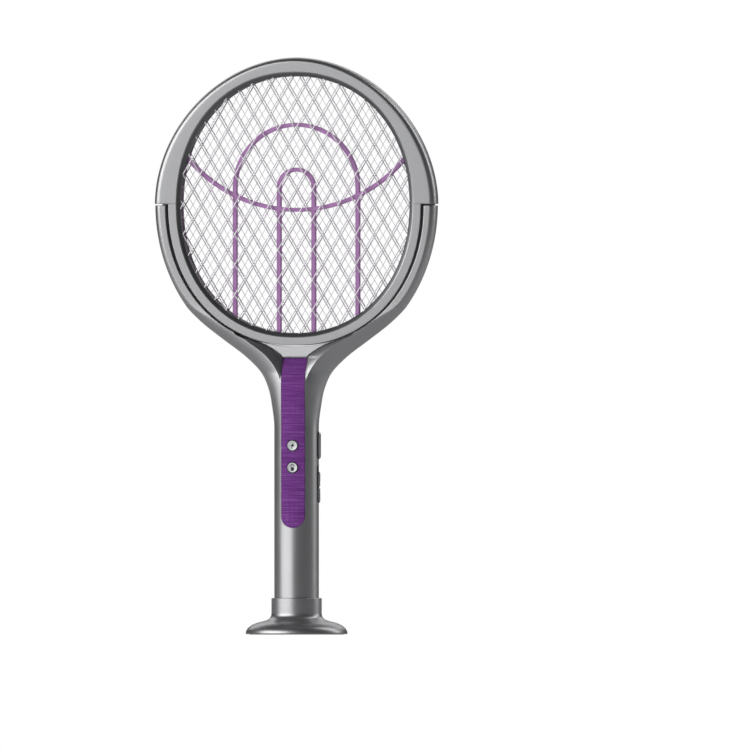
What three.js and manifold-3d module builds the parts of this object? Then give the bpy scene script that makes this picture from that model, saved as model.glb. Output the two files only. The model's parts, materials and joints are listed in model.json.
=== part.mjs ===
// Electric fly swatter: oval grid head folding in a two-armed fork, round handle, weighted stand.
// Millimetres, +Z up, front towards -Y, origin at the centre of the stand's underside.
import * as THREE from 'three';
import { mergeVertices } from 'three/addons/utils/BufferGeometryUtils.js';
import Module from 'manifold-3d';

const wasm = await Module();
wasm.setup();

// ---- Driving dimensions -------------------------------------------------------------------
const GAP = 0.3;                 // clearance between neighbouring pieces
const FAR = 200;                 // reach of a cutting block

// Head: an oval ring about HEAD_Z; "offset" is the distance outwards from the face's inner edge.
const HEAD_Z = 374;              // centre of the oval, height of the hinge and of its seams
const OVAL_X = 104.9;            // face inner edge, half width
const OVAL_Z = 115.5;            // face inner edge, half height
const OVAL_FULL = 2.12;          // exponent of the oval, slightly fuller than an ellipse
const HALF_DEPTH = 10;           // half the thickness of the head and of the fork arms
const BAND = 7.0;                // face width of the lower ring
const CRESCENT_X = 119.0;        // outer face edge of the upper band, half width
const CRESCENT_Z = 123.8;        // outer face edge of the upper band, half height
const CRESCENT_FULL = 1.92;      // exponent of the upper band's outline
const BULGE_X = 6.1;             // how far the rounded side stands past the face, at the sides
const BULGE_Z = 4.3;             // the same at the top
const SEAM = 0.6;                // half the gap between arm tops and upper band
const SPLIT = 0.15;              // half the gap between the two halves of a housing

// Grids
const CELL_X = 30.6;             // width of the guards' diamonds, two wire pitches
const CELL_Z = 52.4;             // height of the guards' diamonds
const GUARD_WIRE = 1.0;
const GUARD_THICK = 0.9;
const GUARD_Y = 6.5;             // distance of each guard from the middle plane
const GUARD_IN = -2.7;           // offset where the guard's rim starts
const GUARD_OUT = 0.6;
const CORE_IN = -3.3;            // offset where the rims of grid and ribs start
const CORE_OUT = 1.5;
const CORE_WALL = 1.8;           // offset of the chamber wall around grid and ribs
const CORE_HALF = 3.6;           // half depth of that chamber
const LIP_IN = -4.0;             // innermost offset of the sloping lip
const LIVE_SHIFT = 1.02;         // sideways shift of the live grid, in half cells
const HV_WIRE = 1.2;
const HV_THICK = 1.2;
const RIB_WIDE = 3.5;
const RIB_NEAR = 0.9;            // ribs lie between these distances from the middle plane
const RIB_FAR = 3.3;
const OUTER_ARCH = 54.3;
const INNER_ARCH = 15.3;
const ARCH_RISE = 15.2;          // arch centres above the head centre
const CROSS_R = 125.2;
const CROSS_RISE = 120.7;
const OUTER_FOOT = 98;           // depth of the arches' feet below the head centre
const INNER_FOOT = 113;
const CROSS_REACH = 98.5;        // half the span of the cross arc

// Handle and fork
const HANDLE_R = 19.4;
const WALL = 2.0;
const TAIL_Z = 6.3;              // underside of the tail cap
const SHELL_Z = 9.0;             // lower end of the handle shells
const ARM_IN_X = 114.2;          // inner wall of the arms, an oval about HEAD_Z
const ARM_IN_Z = 124.4;
const WEB_TOP_Z = 123.2;         // the same half height in front of WEB_LIP_Y, close to the head
const WEB_LIP_Y = -3.5;
const ARM_OUT_X = 124.8;         // outer side of the arms above ARM_JOIN_Z, an ellipse
const ARM_OUT_Z = 141.5;
const ARM_JOIN_Z = 284.1;
// [height, value] pairs, joined by smooth curves
const OUT_CURVE = [[180, 19.4], [200.5, 21.7], [214.5, 24.8], [228.4, 31.5], [242.3, 45.4],
  [256.2, 64], [270.1, 82.1], [284.1, 96.4], [295.4, 103.8]];
const ROUND_CURVE = [[180, 19.4], [221, 19], [242, 16], [263, 10], [290, 6], [374, 5.6]];
const DEPTH_CURVE = [[200, 19.4], [221, 18.9], [242, 16], [270, 11.6], [290, 10], [374, 10]];
const VALLEY_CURVE = [[217, 10.8], [228, 13.7], [242, 23.9], [256, 42.5], [266, 60]];

// Fabric inlay
const STRIP_HALF = 10.45;
const STRIP_LOW = 92.7;
const STRIP_TOP = 240.6;
const STRIP_THICK = 0.7;
const VALLEY_Z = 219;            // where the inlay starts to sink back between the arms
const VALLEY_Y = 5.5;            // depth of the inlay's top edge in front of the middle plane
const VALLEY_EASE = 1.6;
const REAR_VALLEY_Y = 8;         // depth of the shallow valley in the back

// The raised web between inlay and head: half width by height, front at its foot and at its top.
const WEB_CURVE = [[241, 10.7], [246.6, 16.5], [252, 25.5], [256.4, 36.8], [258, 42]];
const WEB_LEVELS = [240.9, 243, 245, 247, 249.5, 252, 254, 256.4, 258];
const WEB_FRONT = [-8.4, -6.0];

// Controls
const BUTTON_R = 4.5;
const ZAP_Z = 164.4;
const MODE_Z = 145.3;
const TRIGGER_HALF = [3.3, 11.65];
const SLIDER_HALF = [3.3, 13.5];
const SLIDER_Z = 128.1;
const SLOT_LOW = 114.2;
const SLOT_HIGH = 148.3;
const SIDE_GAP = 0.8;            // clearance around the two controls on the side
const FRONT_TRAVEL = 1.0;        // stroke of the front buttons
const SWITCH_TOP = -12.8;        // front of the tact switches on the main board
const BUTTON_TOP = -20.0;        // outer face of the front buttons
const FLANGE_Y = [-16.0, -15.2]; // front and back of their retaining flanges
const FLANGE_REACH = 1.5;        // how far the side controls' flanges stand past them
const TRIGGER_X = [15.3, 16.0, 20.4, 21.2];   // flange, body, crown and face of the side button
const SLIDER_X = [14.6, 15.9, 20.5];          // flange, body and face of the slide switch's knob
const OVERLAP = 0.2;             // how far joined bodies reach into each other

// Hinge
const HINGE_Y = 10;
const KNUCKLE_R = 3.0;
const PIN_R = 1.2;
const HEAD_KNUCKLE = [105.6, 113.5];
const ARM_KNUCKLE = [114.4, 120.4];

// Screws
const SCREW_R = 0.95;
const SCREW_HEAD_R = 1.8;
const SCREW_HEAD = 1.4;
const SCREW_CROSS = [1.2, 0.3, 0.7];     // half length, half width and depth of the recess
const HEAD_SCREW_ANGLES = [35, 90, 145, 215, 270, 325];
const HEAD_SCREW_OFFSET = 4.2;
const HEAD_SCREW_Y = HALF_DEPTH - 0.3;
const HEAD_SCREW_TIP = -6;
// Place, head and tip of each shell screw: [x, z, head y, tip y]
const SHELL_SCREWS = [[0, 15, 17.2, -8], [-8.5, 233, 10.8, -5], [8.5, 233, 10.8, -5]];
const BOSS_R = 3.4;              // boss that takes the lowest screw

// Inside the handle; boards and transformer are boxes given by their low and high corners
const CELL = { radius: 9.1, y: 2, low: 22, high: 87 };
const MAIN_BOARD = [[-13, -9, 95], [13, -7.4, 188]];
const SIDE_BOARD = [[9.6, -6.6, 110], [11.0, 7.4, 178]];
const FRONT_SWITCH = [3, -9.3];          // half width and depth of the back
const SIDE_SWITCH = [11.3, 14.1, 3];     // inner and outer face, half depth
const TRANSFORMER = [[-9, -5, 97], [5, 7, 111]];
const CAPACITOR = [-4, -5, 7, 4];        // x, front, rear, radius
const CAPACITOR_Z = [118, 128, 138];
// Charging socket, open at the back of the handle
const USB = { half: 4.5, low: 90, high: 93.3, front: 11.5, rear: 18.6, wall: 0.5 };

// Stand
const COLLAR_R = 21.9;
const COLLAR_Z = 31.8;
const FLARE_Z = 18.7;
const FLARE_MIDDLE = [31, 11.1]; // radius and height where the foot's hollow curve turns
const RIM_R = 44.2;
const SOCKET_R = 19.75;
const SOCKET_Z = 6.0;
const SOLE_R = 41.2;
const SOLE_TOP = 1.6;
const WEIGHT = [22.6, 36.4, 2.2, 6.0];   // inner radius, outer radius, low, high

// ---- Materials ----------------------------------------------------------------------------
function finish(color, roughness, metalness) {
  return new THREE.MeshStandardMaterial({ color, roughness, metalness });
}

const bodyGrey = () => finish(0x8e8f92, 0.38, 0.45);
const wireSilver = () => finish(0xc9c9cc, 0.35, 0.8);
const ribViolet = () => finish(0x9a62a8, 0.5, 0);
const fabricPurple = () => finish(0x5c2386, 0.9, 0);
const buttonSilver = () => finish(0xbfc0c4, 0.3, 0.7);
const darkPlastic = () => finish(0x2b2b2e, 0.5, 0);
const boardGreen = () => finish(0x1d5a36, 0.6, 0);
const steel = () => finish(0xa0a2a5, 0.35, 0.9);
const rubberBlack = () => finish(0x18181a, 0.9, 0);
const copper = () => finish(0xb06a35, 0.4, 0.8);
const cellBlue = () => finish(0x2f5fa8, 0.45, 0);
const leadRed = () => finish(0xa8201c, 0.5, 0);

// ---- Solid helpers ------------------------------------------------------------------------
function solidOf(geometry) {
  const bare = geometry.clone();
  bare.deleteAttribute('normal');
  bare.deleteAttribute('uv');
  const merged = mergeVertices(bare, 1e-5);
  const vertProperties = new Float32Array(merged.attributes.position.array);
  const triVerts = new Uint32Array(merged.index.array);
  return new wasm.Manifold(new wasm.Mesh({ numProp: 3, vertProperties, triVerts }));
}

function geometryOf(solid) {
  const mesh = solid.getMesh();
  const geometry = new THREE.BufferGeometry();
  geometry.setAttribute('position', new THREE.BufferAttribute(new Float32Array(mesh.vertProperties), 3));
  geometry.setIndex(new THREE.BufferAttribute(new Uint32Array(mesh.triVerts), 1));
  geometry.computeVertexNormals();
  return geometry;
}

function join(solids) {
  return solids.reduce((sum, next) => sum.add(next));
}

function cut(solid, tools) {
  return tools.reduce((left, tool) => left.subtract(tool), solid);
}

// Box from its low and high corners.
function block(low, high) {
  const size = high.map((value, i) => value - low[i]);
  const geometry = new THREE.BoxGeometry(...size);
  geometry.translate(...high.map((value, i) => (value + low[i]) / 2));
  return solidOf(geometry);
}

// Cylinder between two points on a line parallel to X, Y or Z.
function rod(radius, from, to, sides = 24) {
  const start = new THREE.Vector3(...from);
  const along = new THREE.Vector3(...to).sub(start);
  const geometry = new THREE.CylinderGeometry(radius, radius, along.length(), sides);
  const turn = new THREE.Quaternion().setFromUnitVectors(
    new THREE.Vector3(0, 1, 0), along.clone().normalize());
  geometry.applyQuaternion(turn);
  geometry.translate(...start.addScaledVector(along, 0.5).toArray());
  return solidOf(geometry);
}

// A shape drawn in front view (x, z), extruded from yLow to yHigh.
function frontPrism(shape, yLow, yHigh, curveSegments = 12) {
  const geometry = new THREE.ExtrudeGeometry(shape,
    { depth: yHigh - yLow, bevelEnabled: false, curveSegments });
  geometry.rotateX(Math.PI / 2);
  geometry.translate(0, yHigh, 0);
  return solidOf(geometry);
}

function shapeOf(points) {
  return new THREE.Shape(points.map(([x, z]) => new THREE.Vector2(x, z)));
}

// Skin over a row of sections with equal point counts; a ring of sections has no end caps.
function loft(sections, ring) {
  const count = sections[0].length;
  const vertices = sections.flat().flatMap((point) => point.toArray());
  const triangles = [];
  const last = ring ? sections.length : sections.length - 1;
  for (let i = 0; i < last; i += 1) {
    const here = i * count;
    const next = ((i + 1) % sections.length) * count;
    for (let j = 0; j < count; j += 1) {
      const k = (j + 1) % count;
      triangles.push(here + j, here + k, next + k);
      triangles.push(here + j, next + k, next + j);
    }
  }
  if (!ring) {
    const end = (sections.length - 1) * count;
    for (const [a, b, c] of capOf(sections[0])) {
      triangles.push(a, c, b);
      triangles.push(end + a, end + b, end + c);
    }
  }
  const geometry = new THREE.BufferGeometry();
  geometry.setAttribute('position', new THREE.Float32BufferAttribute(vertices, 3));
  geometry.setIndex(triangles);
  const solid = solidOf(geometry);
  if (solid.volume() > 0) {
    return solid;
  }
  const flipped = triangles.map((_, i) => triangles[3 * Math.floor(i / 3) + [0, 2, 1][i % 3]]);
  geometry.setIndex(flipped);
  return solidOf(geometry);
}

// Triangles over one flat section, wound as the section runs.
function capOf(section) {
  const normal = new THREE.Vector3();
  section.forEach((point, i) => normal.add(new THREE.Vector3().crossVectors(
    point, section[(i + 1) % section.length])));
  const turn = new THREE.Quaternion().setFromUnitVectors(normal.normalize(), new THREE.Vector3(0, 0, 1));
  const flat = section.map((point) => {
    const turned = point.clone().applyQuaternion(turn);
    return new THREE.Vector2(turned.x, turned.y);
  });
  return THREE.ShapeUtils.triangulateShape(flat, []);
}

function lathe(profile, segments) {
  const geometry = new THREE.LatheGeometry(profile.map(([r, z]) => new THREE.Vector2(r, z)), segments);
  geometry.rotateX(Math.PI / 2);
  return solidOf(geometry);
}

// Smooth value at height z through [height, value] pairs.
function curveAt(pairs, z) {
  const last = pairs.length - 1;
  if (z <= pairs[0][0]) {
    return pairs[0][1];
  }
  if (z >= pairs[last][0]) {
    return pairs[last][1];
  }
  const i = pairs.findIndex((pair) => pair[0] > z) - 1;
  const slope = (k) => {
    const a = pairs[Math.max(k - 1, 0)];
    const b = pairs[Math.min(k + 1, last)];
    return (k === 0 || k === last) ? 0 : (b[1] - a[1]) / (b[0] - a[0]);
  };
  const span = pairs[i + 1][0] - pairs[i][0];
  const t = (z - pairs[i][0]) / span;
  const blend = t * t * (3 - 2 * t);
  const pull = t * (1 - t) * span;
  return pairs[i][1] * (1 - blend) + pairs[i + 1][1] * blend
    + pull * ((1 - t) * slope(i) - t * slope(i + 1));
}

// Point of an oval about the head's centre; a fullness of 2 is an ellipse.
function ovalPoint(halfX, halfZ, angle, full = OVAL_FULL) {
  const [across, up] = [Math.cos(angle), Math.sin(angle)].map((share) => (
    Math.sign(share) * Math.abs(share) ** (2 / full)));
  return [halfX * across, HEAD_Z + halfZ * up];
}

function ovalPoints(halfX, halfZ, count) {
  const turns = Array.from({ length: count }, (_, i) => (2 * Math.PI * i) / count);
  return turns.map((angle) => ovalPoint(halfX, halfZ, angle));
}

function mirrored(solid) {
  return solid.mirror([1, 0, 0]);
}

function part(name, solid, material) {
  const mesh = new THREE.Mesh(geometryOf(solid), material);
  mesh.name = name;
  return mesh;
}

// ---- Head housing -------------------------------------------------------------------------
const RING_STEPS = 44;
const CRESCENT_STEPS = 20;

// Ring section of one half, as [offset, distance in front of or behind the middle plane].
function bezelProfile() {
  const groove = GUARD_THICK / 2 + GAP;
  return [[0, HALF_DEPTH], [-2.3, GUARD_Y + groove], [GUARD_OUT + GAP, GUARD_Y + groove],
    [GUARD_OUT + GAP, GUARD_Y - groove], [-3.0, GUARD_Y - groove], [LIP_IN, CORE_HALF],
    [CORE_WALL, CORE_HALF], [CORE_WALL, SPLIT], [BAND, SPLIT], [BAND, HALF_DEPTH - 0.6],
    [BAND - 0.6, HALF_DEPTH]];
}

function ringHalf(side) {
  const sections = Array.from({ length: RING_STEPS }, (_, i) => {
    const angle = (2 * Math.PI * i) / RING_STEPS;
    return bezelProfile().map(([offset, depth]) => {
      const [x, z] = ovalPoint(OVAL_X + offset, OVAL_Z + offset, angle);
      return new THREE.Vector3(x, side * depth, z);
    });
  });
  return loft(sections, true);
}

// The wide upper band with its rounded side, ending in flat shoulders over the arms.
function crescentHalf(side) {
  const spill = 0.05;
  const arcs = 4;
  const sections = Array.from({ length: CRESCENT_STEPS + 1 }, (_, i) => {
    const angle = -spill + ((Math.PI + 2 * spill) * i) / CRESCENT_STEPS;
    const section = [];
    for (let k = 0; k <= arcs; k += 1) {
      const round = (k / arcs) * (Math.PI / 2);
      const [x, z] = ovalPoint(CRESCENT_X + BULGE_X * Math.sin(round),
        CRESCENT_Z + BULGE_Z * Math.sin(round), angle, CRESCENT_FULL);
      section.push(new THREE.Vector3(x, side * Math.max(HALF_DEPTH * Math.cos(round), SPLIT), z));
    }
    const inner = BAND - 2;
    const [x, z] = ovalPoint(OVAL_X + inner, OVAL_Z + inner, angle);
    section.push(new THREE.Vector3(x, side * SPLIT, z));
    section.push(new THREE.Vector3(x, side * HALF_DEPTH, z));
    return section;
  });
  const below = block([-FAR, -FAR, 0], [FAR, FAR, HEAD_Z + SEAM]);
  return loft(sections, false).subtract(below);
}

// Places [x, z] of the screws that close the head.
function headScrewPlaces() {
  return HEAD_SCREW_ANGLES.map((degrees) => ovalPoint(
    OVAL_X + HEAD_SCREW_OFFSET, OVAL_Z + HEAD_SCREW_OFFSET, (degrees * Math.PI) / 180));
}

function screwHole(x, z, headY, tipY) {
  const above = headY + 6;
  return rod(SCREW_R + GAP, [x, tipY - 0.4, z], [x, headY, z], 12)
    .add(rod(SCREW_HEAD_R + GAP, [x, headY - SCREW_HEAD - GAP, z], [x, above, z], 16));
}

// Screw along Y with a cross recess cut in its head.
function screw(x, z, headY, tipY) {
  const low = headY - SCREW_HEAD;
  const head = rod(SCREW_HEAD_R, [x, low, z], [x, headY, z], 16);
  const shank = rod(SCREW_R, [x, tipY, z], [x, low + 0.2, z], 12);
  const [long, slot, deep] = SCREW_CROSS;
  const across = block([x - long, headY - deep, z - slot], [x + long, headY + 1, z + slot]);
  const upright = block([x - slot, headY - deep, z - long], [x + slot, headY + 1, z + long]);
  return cut(head.add(shank), [across, upright]);
}

function headScrewHoles() {
  return headScrewPlaces().map(([x, z]) => screwHole(x, z, HEAD_SCREW_Y, HEAD_SCREW_TIP));
}

function hingeRod(radius, span) {
  return rod(radius, [span[0], HINGE_Y, HEAD_Z], [span[1], HINGE_Y, HEAD_Z], 16);
}

function frontBezel() {
  return cut(ringHalf(-1).add(crescentHalf(-1)), headScrewHoles());
}

function rearBezel() {
  const pocket = hingeRod(KNUCKLE_R + 0.4, [ARM_KNUCKLE[0] - 0.25, FAR]);
  const knuckle = hingeRod(KNUCKLE_R, HEAD_KNUCKLE);
  const pinHole = hingeRod(PIN_R + GAP, [HEAD_KNUCKLE[0] + 1.2, FAR]);
  const sides = [(solid) => solid, mirrored];
  let body = ringHalf(1).add(crescentHalf(1));
  for (const side of sides) {
    body = body.subtract(side(pocket)).add(side(knuckle)).subtract(side(pinHole));
  }
  return cut(body, headScrewHoles());
}

// ---- Grids --------------------------------------------------------------------------------
// The part of a polygon that lies inside a convex outline (both run anticlockwise).
function clipped(polygon, outline) {
  let result = polygon;
  outline.forEach(([ax, az], i) => {
    const [bx, bz] = outline[(i + 1) % outline.length];
    const side = ([x, z]) => (bx - ax) * (z - az) - (bz - az) * (x - ax);
    const kept = [];
    result.forEach((point, k) => {
      const next = result[(k + 1) % result.length];
      const here = side(point);
      const there = side(next);
      if (here >= 0) {
        kept.push(point);
      }
      if (here * there < 0) {
        const t = here / (here - there);
        kept.push([point[0] + t * (next[0] - point[0]), point[1] + t * (next[1] - point[1])]);
      }
    });
    result = kept;
  });
  return result.filter(([x, z], i) => {
    const [nx, nz] = result[(i + 1) % result.length];
    return Math.hypot(nx - x, nz - z) > 0.02;
  });
}

function areaOf(points) {
  return points.reduce((sum, [x, z], i) => {
    const [nx, nz] = points[(i + 1) % points.length];
    return sum + (x * nz - nx * z) / 2;
  }, 0);
}

// Diamond-shaped openings between crossed wires, kept inside the rim.
function diamonds(cellX, cellZ, wire, shift, rim) {
  const halfX = cellX / 2;
  const halfZ = cellZ / 2;
  const toEdge = (halfX * halfZ) / Math.hypot(halfX, halfZ);
  const shrink = (toEdge - wire / 2) / toEdge;
  const reach = Math.ceil(OVAL_Z / halfX);
  const holes = [];
  for (let i = -reach; i <= reach; i += 1) {
    for (let j = -reach; j <= reach; j += 1) {
      if ((i + j) % 2 === 0) {
        const x = (i + shift) * halfX;
        const z = HEAD_Z + j * halfZ;
        const diamond = [[x + halfX * shrink, z], [x, z + halfZ * shrink],
          [x - halfX * shrink, z], [x, z - halfZ * shrink]];
        const hole = clipped(diamond, rim);
        if (hole.length > 2 && areaOf(hole) > 3) {
          holes.push(hole);
        }
      }
    }
  }
  return holes;
}

function lattice(cellX, cellZ, wire, shift, rimIn, rimOut, yLow, yHigh) {
  const shape = shapeOf(ovalPoints(OVAL_X + rimOut, OVAL_Z + rimOut, 40));
  const rim = ovalPoints(OVAL_X + rimIn, OVAL_Z + rimIn, 40);
  for (const hole of diamonds(cellX, cellZ, wire, shift, rim)) {
    shape.holes.push(new THREE.Path(hole.map(([x, z]) => new THREE.Vector2(x, z))));
  }
  return frontPrism(shape, yLow, yHigh);
}

function guard(y) {
  return lattice(CELL_X, CELL_Z, GUARD_WIRE, 0, GUARD_IN, GUARD_OUT,
    y - GUARD_THICK / 2, y + GUARD_THICK / 2);
}

// The live grid between the guards, its openings set half a diamond sideways from theirs.
function liveGrid() {
  return lattice(CELL_X, CELL_Z, HV_WIRE, LIVE_SHIFT, CORE_IN, CORE_OUT, -HV_THICK / 2, HV_THICK / 2);
}

// An arch as a band: two uprights joined by a half circle.
function archBand(radius, footZ) {
  const crown = HEAD_Z + ARCH_RISE;
  const half = RIB_WIDE / 2;
  const shape = new THREE.Shape();
  shape.moveTo(radius + half, footZ);
  shape.absarc(0, crown, radius + half, 0, Math.PI, false);
  shape.lineTo(-radius - half, footZ);
  shape.lineTo(-radius + half, footZ);
  shape.absarc(0, crown, radius - half, Math.PI, 0, true);
  shape.lineTo(radius - half, footZ);
  return shape;
}

function crossBand(reach) {
  const centre = HEAD_Z + CROSS_RISE;
  const half = RIB_WIDE / 2;
  const tilt = Math.asin(reach / CROSS_R);
  const shape = new THREE.Shape();
  shape.absarc(0, centre, CROSS_R + half, -Math.PI / 2 - tilt, -Math.PI / 2 + tilt, false);
  shape.absarc(0, centre, CROSS_R - half, -Math.PI / 2 + tilt, -Math.PI / 2 - tilt, true);
  return shape;
}

function ribRim() {
  const shape = shapeOf(ovalPoints(OVAL_X + CORE_OUT, OVAL_Z + CORE_OUT, 40));
  const inside = ovalPoints(OVAL_X + CORE_IN, OVAL_Z + CORE_IN, 40);
  shape.holes.push(new THREE.Path(inside.map(([x, z]) => new THREE.Vector2(x, z))));
  return shape;
}

function spacerRibs(yLow, yHigh) {
  const bands = [
    ribRim(),
    archBand(OUTER_ARCH, HEAD_Z - OUTER_FOOT),
    archBand(INNER_ARCH, HEAD_Z - INNER_FOOT),
    crossBand(CROSS_REACH),
  ];
  return join(bands.map((band) => frontPrism(band, yLow, yHigh, 8)));
}

// ---- Handle and fork ----------------------------------------------------------------------
function outerHalf(z) {
  if (z < ARM_JOIN_Z) {
    return curveAt(OUT_CURVE, z);
  }
  const rise = (z - HEAD_Z) / ARM_OUT_Z;
  return ARM_OUT_X * Math.sqrt(1 - rise * rise);
}

// Distance of the front surface from the middle plane, at x and height z.
function surfaceDepth(x, z) {
  const side = curveAt(ROUND_CURVE, z);
  const past = Math.max(0, Math.abs(x) - (outerHalf(z) - side)) / side;
  return curveAt(DEPTH_CURVE, z) * Math.sqrt(Math.max(0, 1 - past * past));
}

const FORK_LEVELS = [SHELL_Z, 180, 200, 214, 221, 228, 235, 242, 249, 256, 263, 270, 284, 300, 320, 345,
  HEAD_Z - SEAM];

// Right half of handle and arm as one filled body, shrunk by inset; the left half is its mirror.
function forkHalf(inset, levels, arcs) {
  const sections = levels.map((z) => {
    const side = curveAt(ROUND_CURVE, z);
    const flat = outerHalf(z) - side;
    const depth = curveAt(DEPTH_CURVE, z) - inset;
    const section = [new THREE.Vector3(-0.5, depth, z), new THREE.Vector3(-0.5, -depth, z)];
    for (let k = 0; k <= arcs; k += 1) {
      const round = -Math.PI / 2 + (Math.PI * k) / arcs;
      section.push(new THREE.Vector3(
        Math.max(flat, 0) + (side - inset) * Math.cos(round), depth * Math.sin(round), z));
    }
    return section;
  });
  return loft(sections, false);
}

function forkBlank(inset, levels, arcs) {
  const half = forkHalf(inset, levels, arcs);
  return half.add(mirrored(half));
}

// Room for the head between the arms, with a lip close below the head at the front.
function headRoom(margin) {
  const outline = (halfZ) => shapeOf(ovalPoints(ARM_IN_X + margin, halfZ + margin, 52));
  return frontPrism(outline(ARM_IN_Z), WEB_LIP_Y, 60).add(frontPrism(outline(WEB_TOP_Z), -60, WEB_LIP_Y));
}

// The gap between the arms below the head, in front view.
function valleyShape(margin) {
  const heights = [217, 222, 228, 235, 242, 249, 256, 262, 266];
  const right = heights.map((z) => [curveAt(VALLEY_CURVE, z) + margin, z]);
  const left = right.map(([x, z]) => [-x, z]).reverse();
  return shapeOf([...right, ...left]);
}

// How far the valley floor lies behind the handle's front surface.
function sinkAt(z) {
  const full = curveAt(DEPTH_CURVE, STRIP_TOP) - VALLEY_Y;
  const t = Math.max(0, (z - VALLEY_Z) / (STRIP_TOP - VALLEY_Z));
  return z > STRIP_TOP ? curveAt(DEPTH_CURVE, z) - VALLEY_Y : full * t ** VALLEY_EASE;
}

// A layer that follows handle front and valley floor, between two depths below that surface.
function frontLayer(top, bottom, reach, levels) {
  const steps = 8;
  const sections = levels.map((z) => {
    const row = (depth) => Array.from({ length: steps + 1 }, (_, i) => {
      const x = -reach + (2 * reach * i) / steps;
      const held = Math.min(Math.abs(x), STRIP_HALF + 1);
      return new THREE.Vector3(x, -surfaceDepth(held, z) + sinkAt(z) + depth, z);
    });
    return [...row(top), ...row(bottom).reverse()];
  });
  return loft(sections, false);
}

const STRIP_LEVELS = [85, 180, 200, 214, 219, 225, 231, 237, 243, 249];
const FLOOR_LEVELS = [219, 225, 231, 237, 242, 250, 258, 266];

function stripShape(margin) {
  const half = STRIP_HALF + margin;
  const shape = new THREE.Shape();
  shape.moveTo(half, STRIP_TOP + margin);
  shape.lineTo(-half, STRIP_TOP + margin);
  shape.absarc(0, STRIP_LOW + STRIP_HALF, half, Math.PI, 2 * Math.PI, false);
  return shape;
}

function valleyCuts() {
  const front = frontPrism(valleyShape(0), -60, 0)
    .intersect(frontLayer(-60, 0, 70, FLOOR_LEVELS));
  const rearLayer = loft(FLOOR_LEVELS.map((z) => {
    const floor = Math.max(REAR_VALLEY_Y, curveAt(DEPTH_CURVE, z) - sinkAt(z));
    return [new THREE.Vector3(-70, floor, z), new THREE.Vector3(70, floor, z),
      new THREE.Vector3(70, 60, z), new THREE.Vector3(-70, 60, z)];
  }), false);
  const rear = frontPrism(valleyShape(0), 0, 60).intersect(rearLayer);
  return [front, rear];
}

// Plate that carries on from the inlay's top edge to the head and leans back a little.
function webPlate() {
  const low = WEB_LEVELS[0];
  const high = WEB_LEVELS[WEB_LEVELS.length - 1];
  const [lowY, highY] = WEB_FRONT;
  return loft(WEB_LEVELS.map((z) => {
    const half = curveAt(WEB_CURVE, z);
    const front = lowY + ((highY - lowY) * (z - low)) / (high - low);
    return [new THREE.Vector3(-half, front, z), new THREE.Vector3(half, front, z),
      new THREE.Vector3(half, 0, z), new THREE.Vector3(-half, 0, z)];
  }), false);
}

// Hollow inside handle and arms; the web below the head stays solid.
function forkHollow() {
  const levels = [0, 180, 200, 214, 228, 242, 256, 270, 284, 303, 330, HEAD_Z - 9];
  const web = frontPrism(valleyShape(WALL), -60, 60);
  return cut(forkBlank(WALL, levels, 8), [headRoom(WALL + 0.2), web]);
}

// Oblong slab on the side of the handle, as [half width along Y, half height], between two x positions.
function sideSlab(half, z, xLow, xHigh) {
  const [halfY, halfZ] = half;
  const straight = halfZ - halfY;
  return join([
    rod(halfY, [xLow, 0, z - straight], [xHigh, 0, z - straight], 20),
    rod(halfY, [xLow, 0, z + straight], [xHigh, 0, z + straight], 20),
    block([xLow, -halfY, z - straight], [xHigh, halfY, z + straight]),
  ]);
}

// Openings for screws, buttons, slide switch and charging socket.
function forkTools() {
  const slotHalf = [SLIDER_HALF[0] + SIDE_GAP, (SLOT_HIGH - SLOT_LOW) / 2];
  const [inside, outside] = [HANDLE_R - 5.4, HANDLE_R + 10];
  const frontHole = (z) => rod(BUTTON_R + GAP, [0, -outside, z], [0, -HANDLE_R / 2, z], 28);
  return [
    ...SHELL_SCREWS.map(([x, z, headY, tipY]) => screwHole(x, z, headY, tipY)),
    frontHole(ZAP_Z),
    frontHole(MODE_Z),
    sideSlab(TRIGGER_HALF.map((value) => value + SIDE_GAP), ZAP_Z, inside, outside),
    sideSlab(slotHalf, (SLOT_LOW + SLOT_HIGH) / 2, inside, outside),
    block([-USB.half - GAP, inside, USB.low - GAP], [USB.half + GAP, outside, USB.high + GAP]),
  ];
}

function fork() {
  const recess = frontPrism(stripShape(GAP / 2), -60, 0)
    .intersect(frontLayer(-20, STRIP_THICK + GAP, 13, STRIP_LEVELS));
  const [bossX, bossZ] = SHELL_SCREWS[0];
  const boss = rod(BOSS_R, [bossX, 1 - HANDLE_R, bossZ], [bossX, HANDLE_R - 1, bossZ], 20);
  const body = cut(forkBlank(0, FORK_LEVELS, 12), [...valleyCuts(), forkHollow()]);
  return cut(join([body, boss, webPlate()]), [headRoom(0), recess, ...forkTools()]);
}

function halves(whole) {
  return {
    front: whole.subtract(block([-FAR, -SPLIT, -1], [FAR, FAR, 3 * FAR])),
    rear: whole.subtract(block([-FAR, -FAR, -1], [FAR, SPLIT, 3 * FAR])),
  };
}

function rearShell(rearHalf) {
  const knuckle = hingeRod(KNUCKLE_R, ARM_KNUCKLE);
  const pinHole = hingeRod(PIN_R + GAP, [ARM_KNUCKLE[0] - 1, ARM_KNUCKLE[1] + 1]);
  return cut(join([rearHalf, knuckle, mirrored(knuckle)]), [pinHole, mirrored(pinHole)]);
}

function fabricInlay() {
  const strip = frontPrism(stripShape(-GAP / 2), -60, 0)
    .intersect(frontLayer(0, STRIP_THICK, 13, STRIP_LEVELS));
  const holes = [ZAP_Z, MODE_Z].map((z) => rod(BUTTON_R + 0.4, [0, -30, z], [0, -10, z], 28));
  return cut(strip, holes);
}

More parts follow.
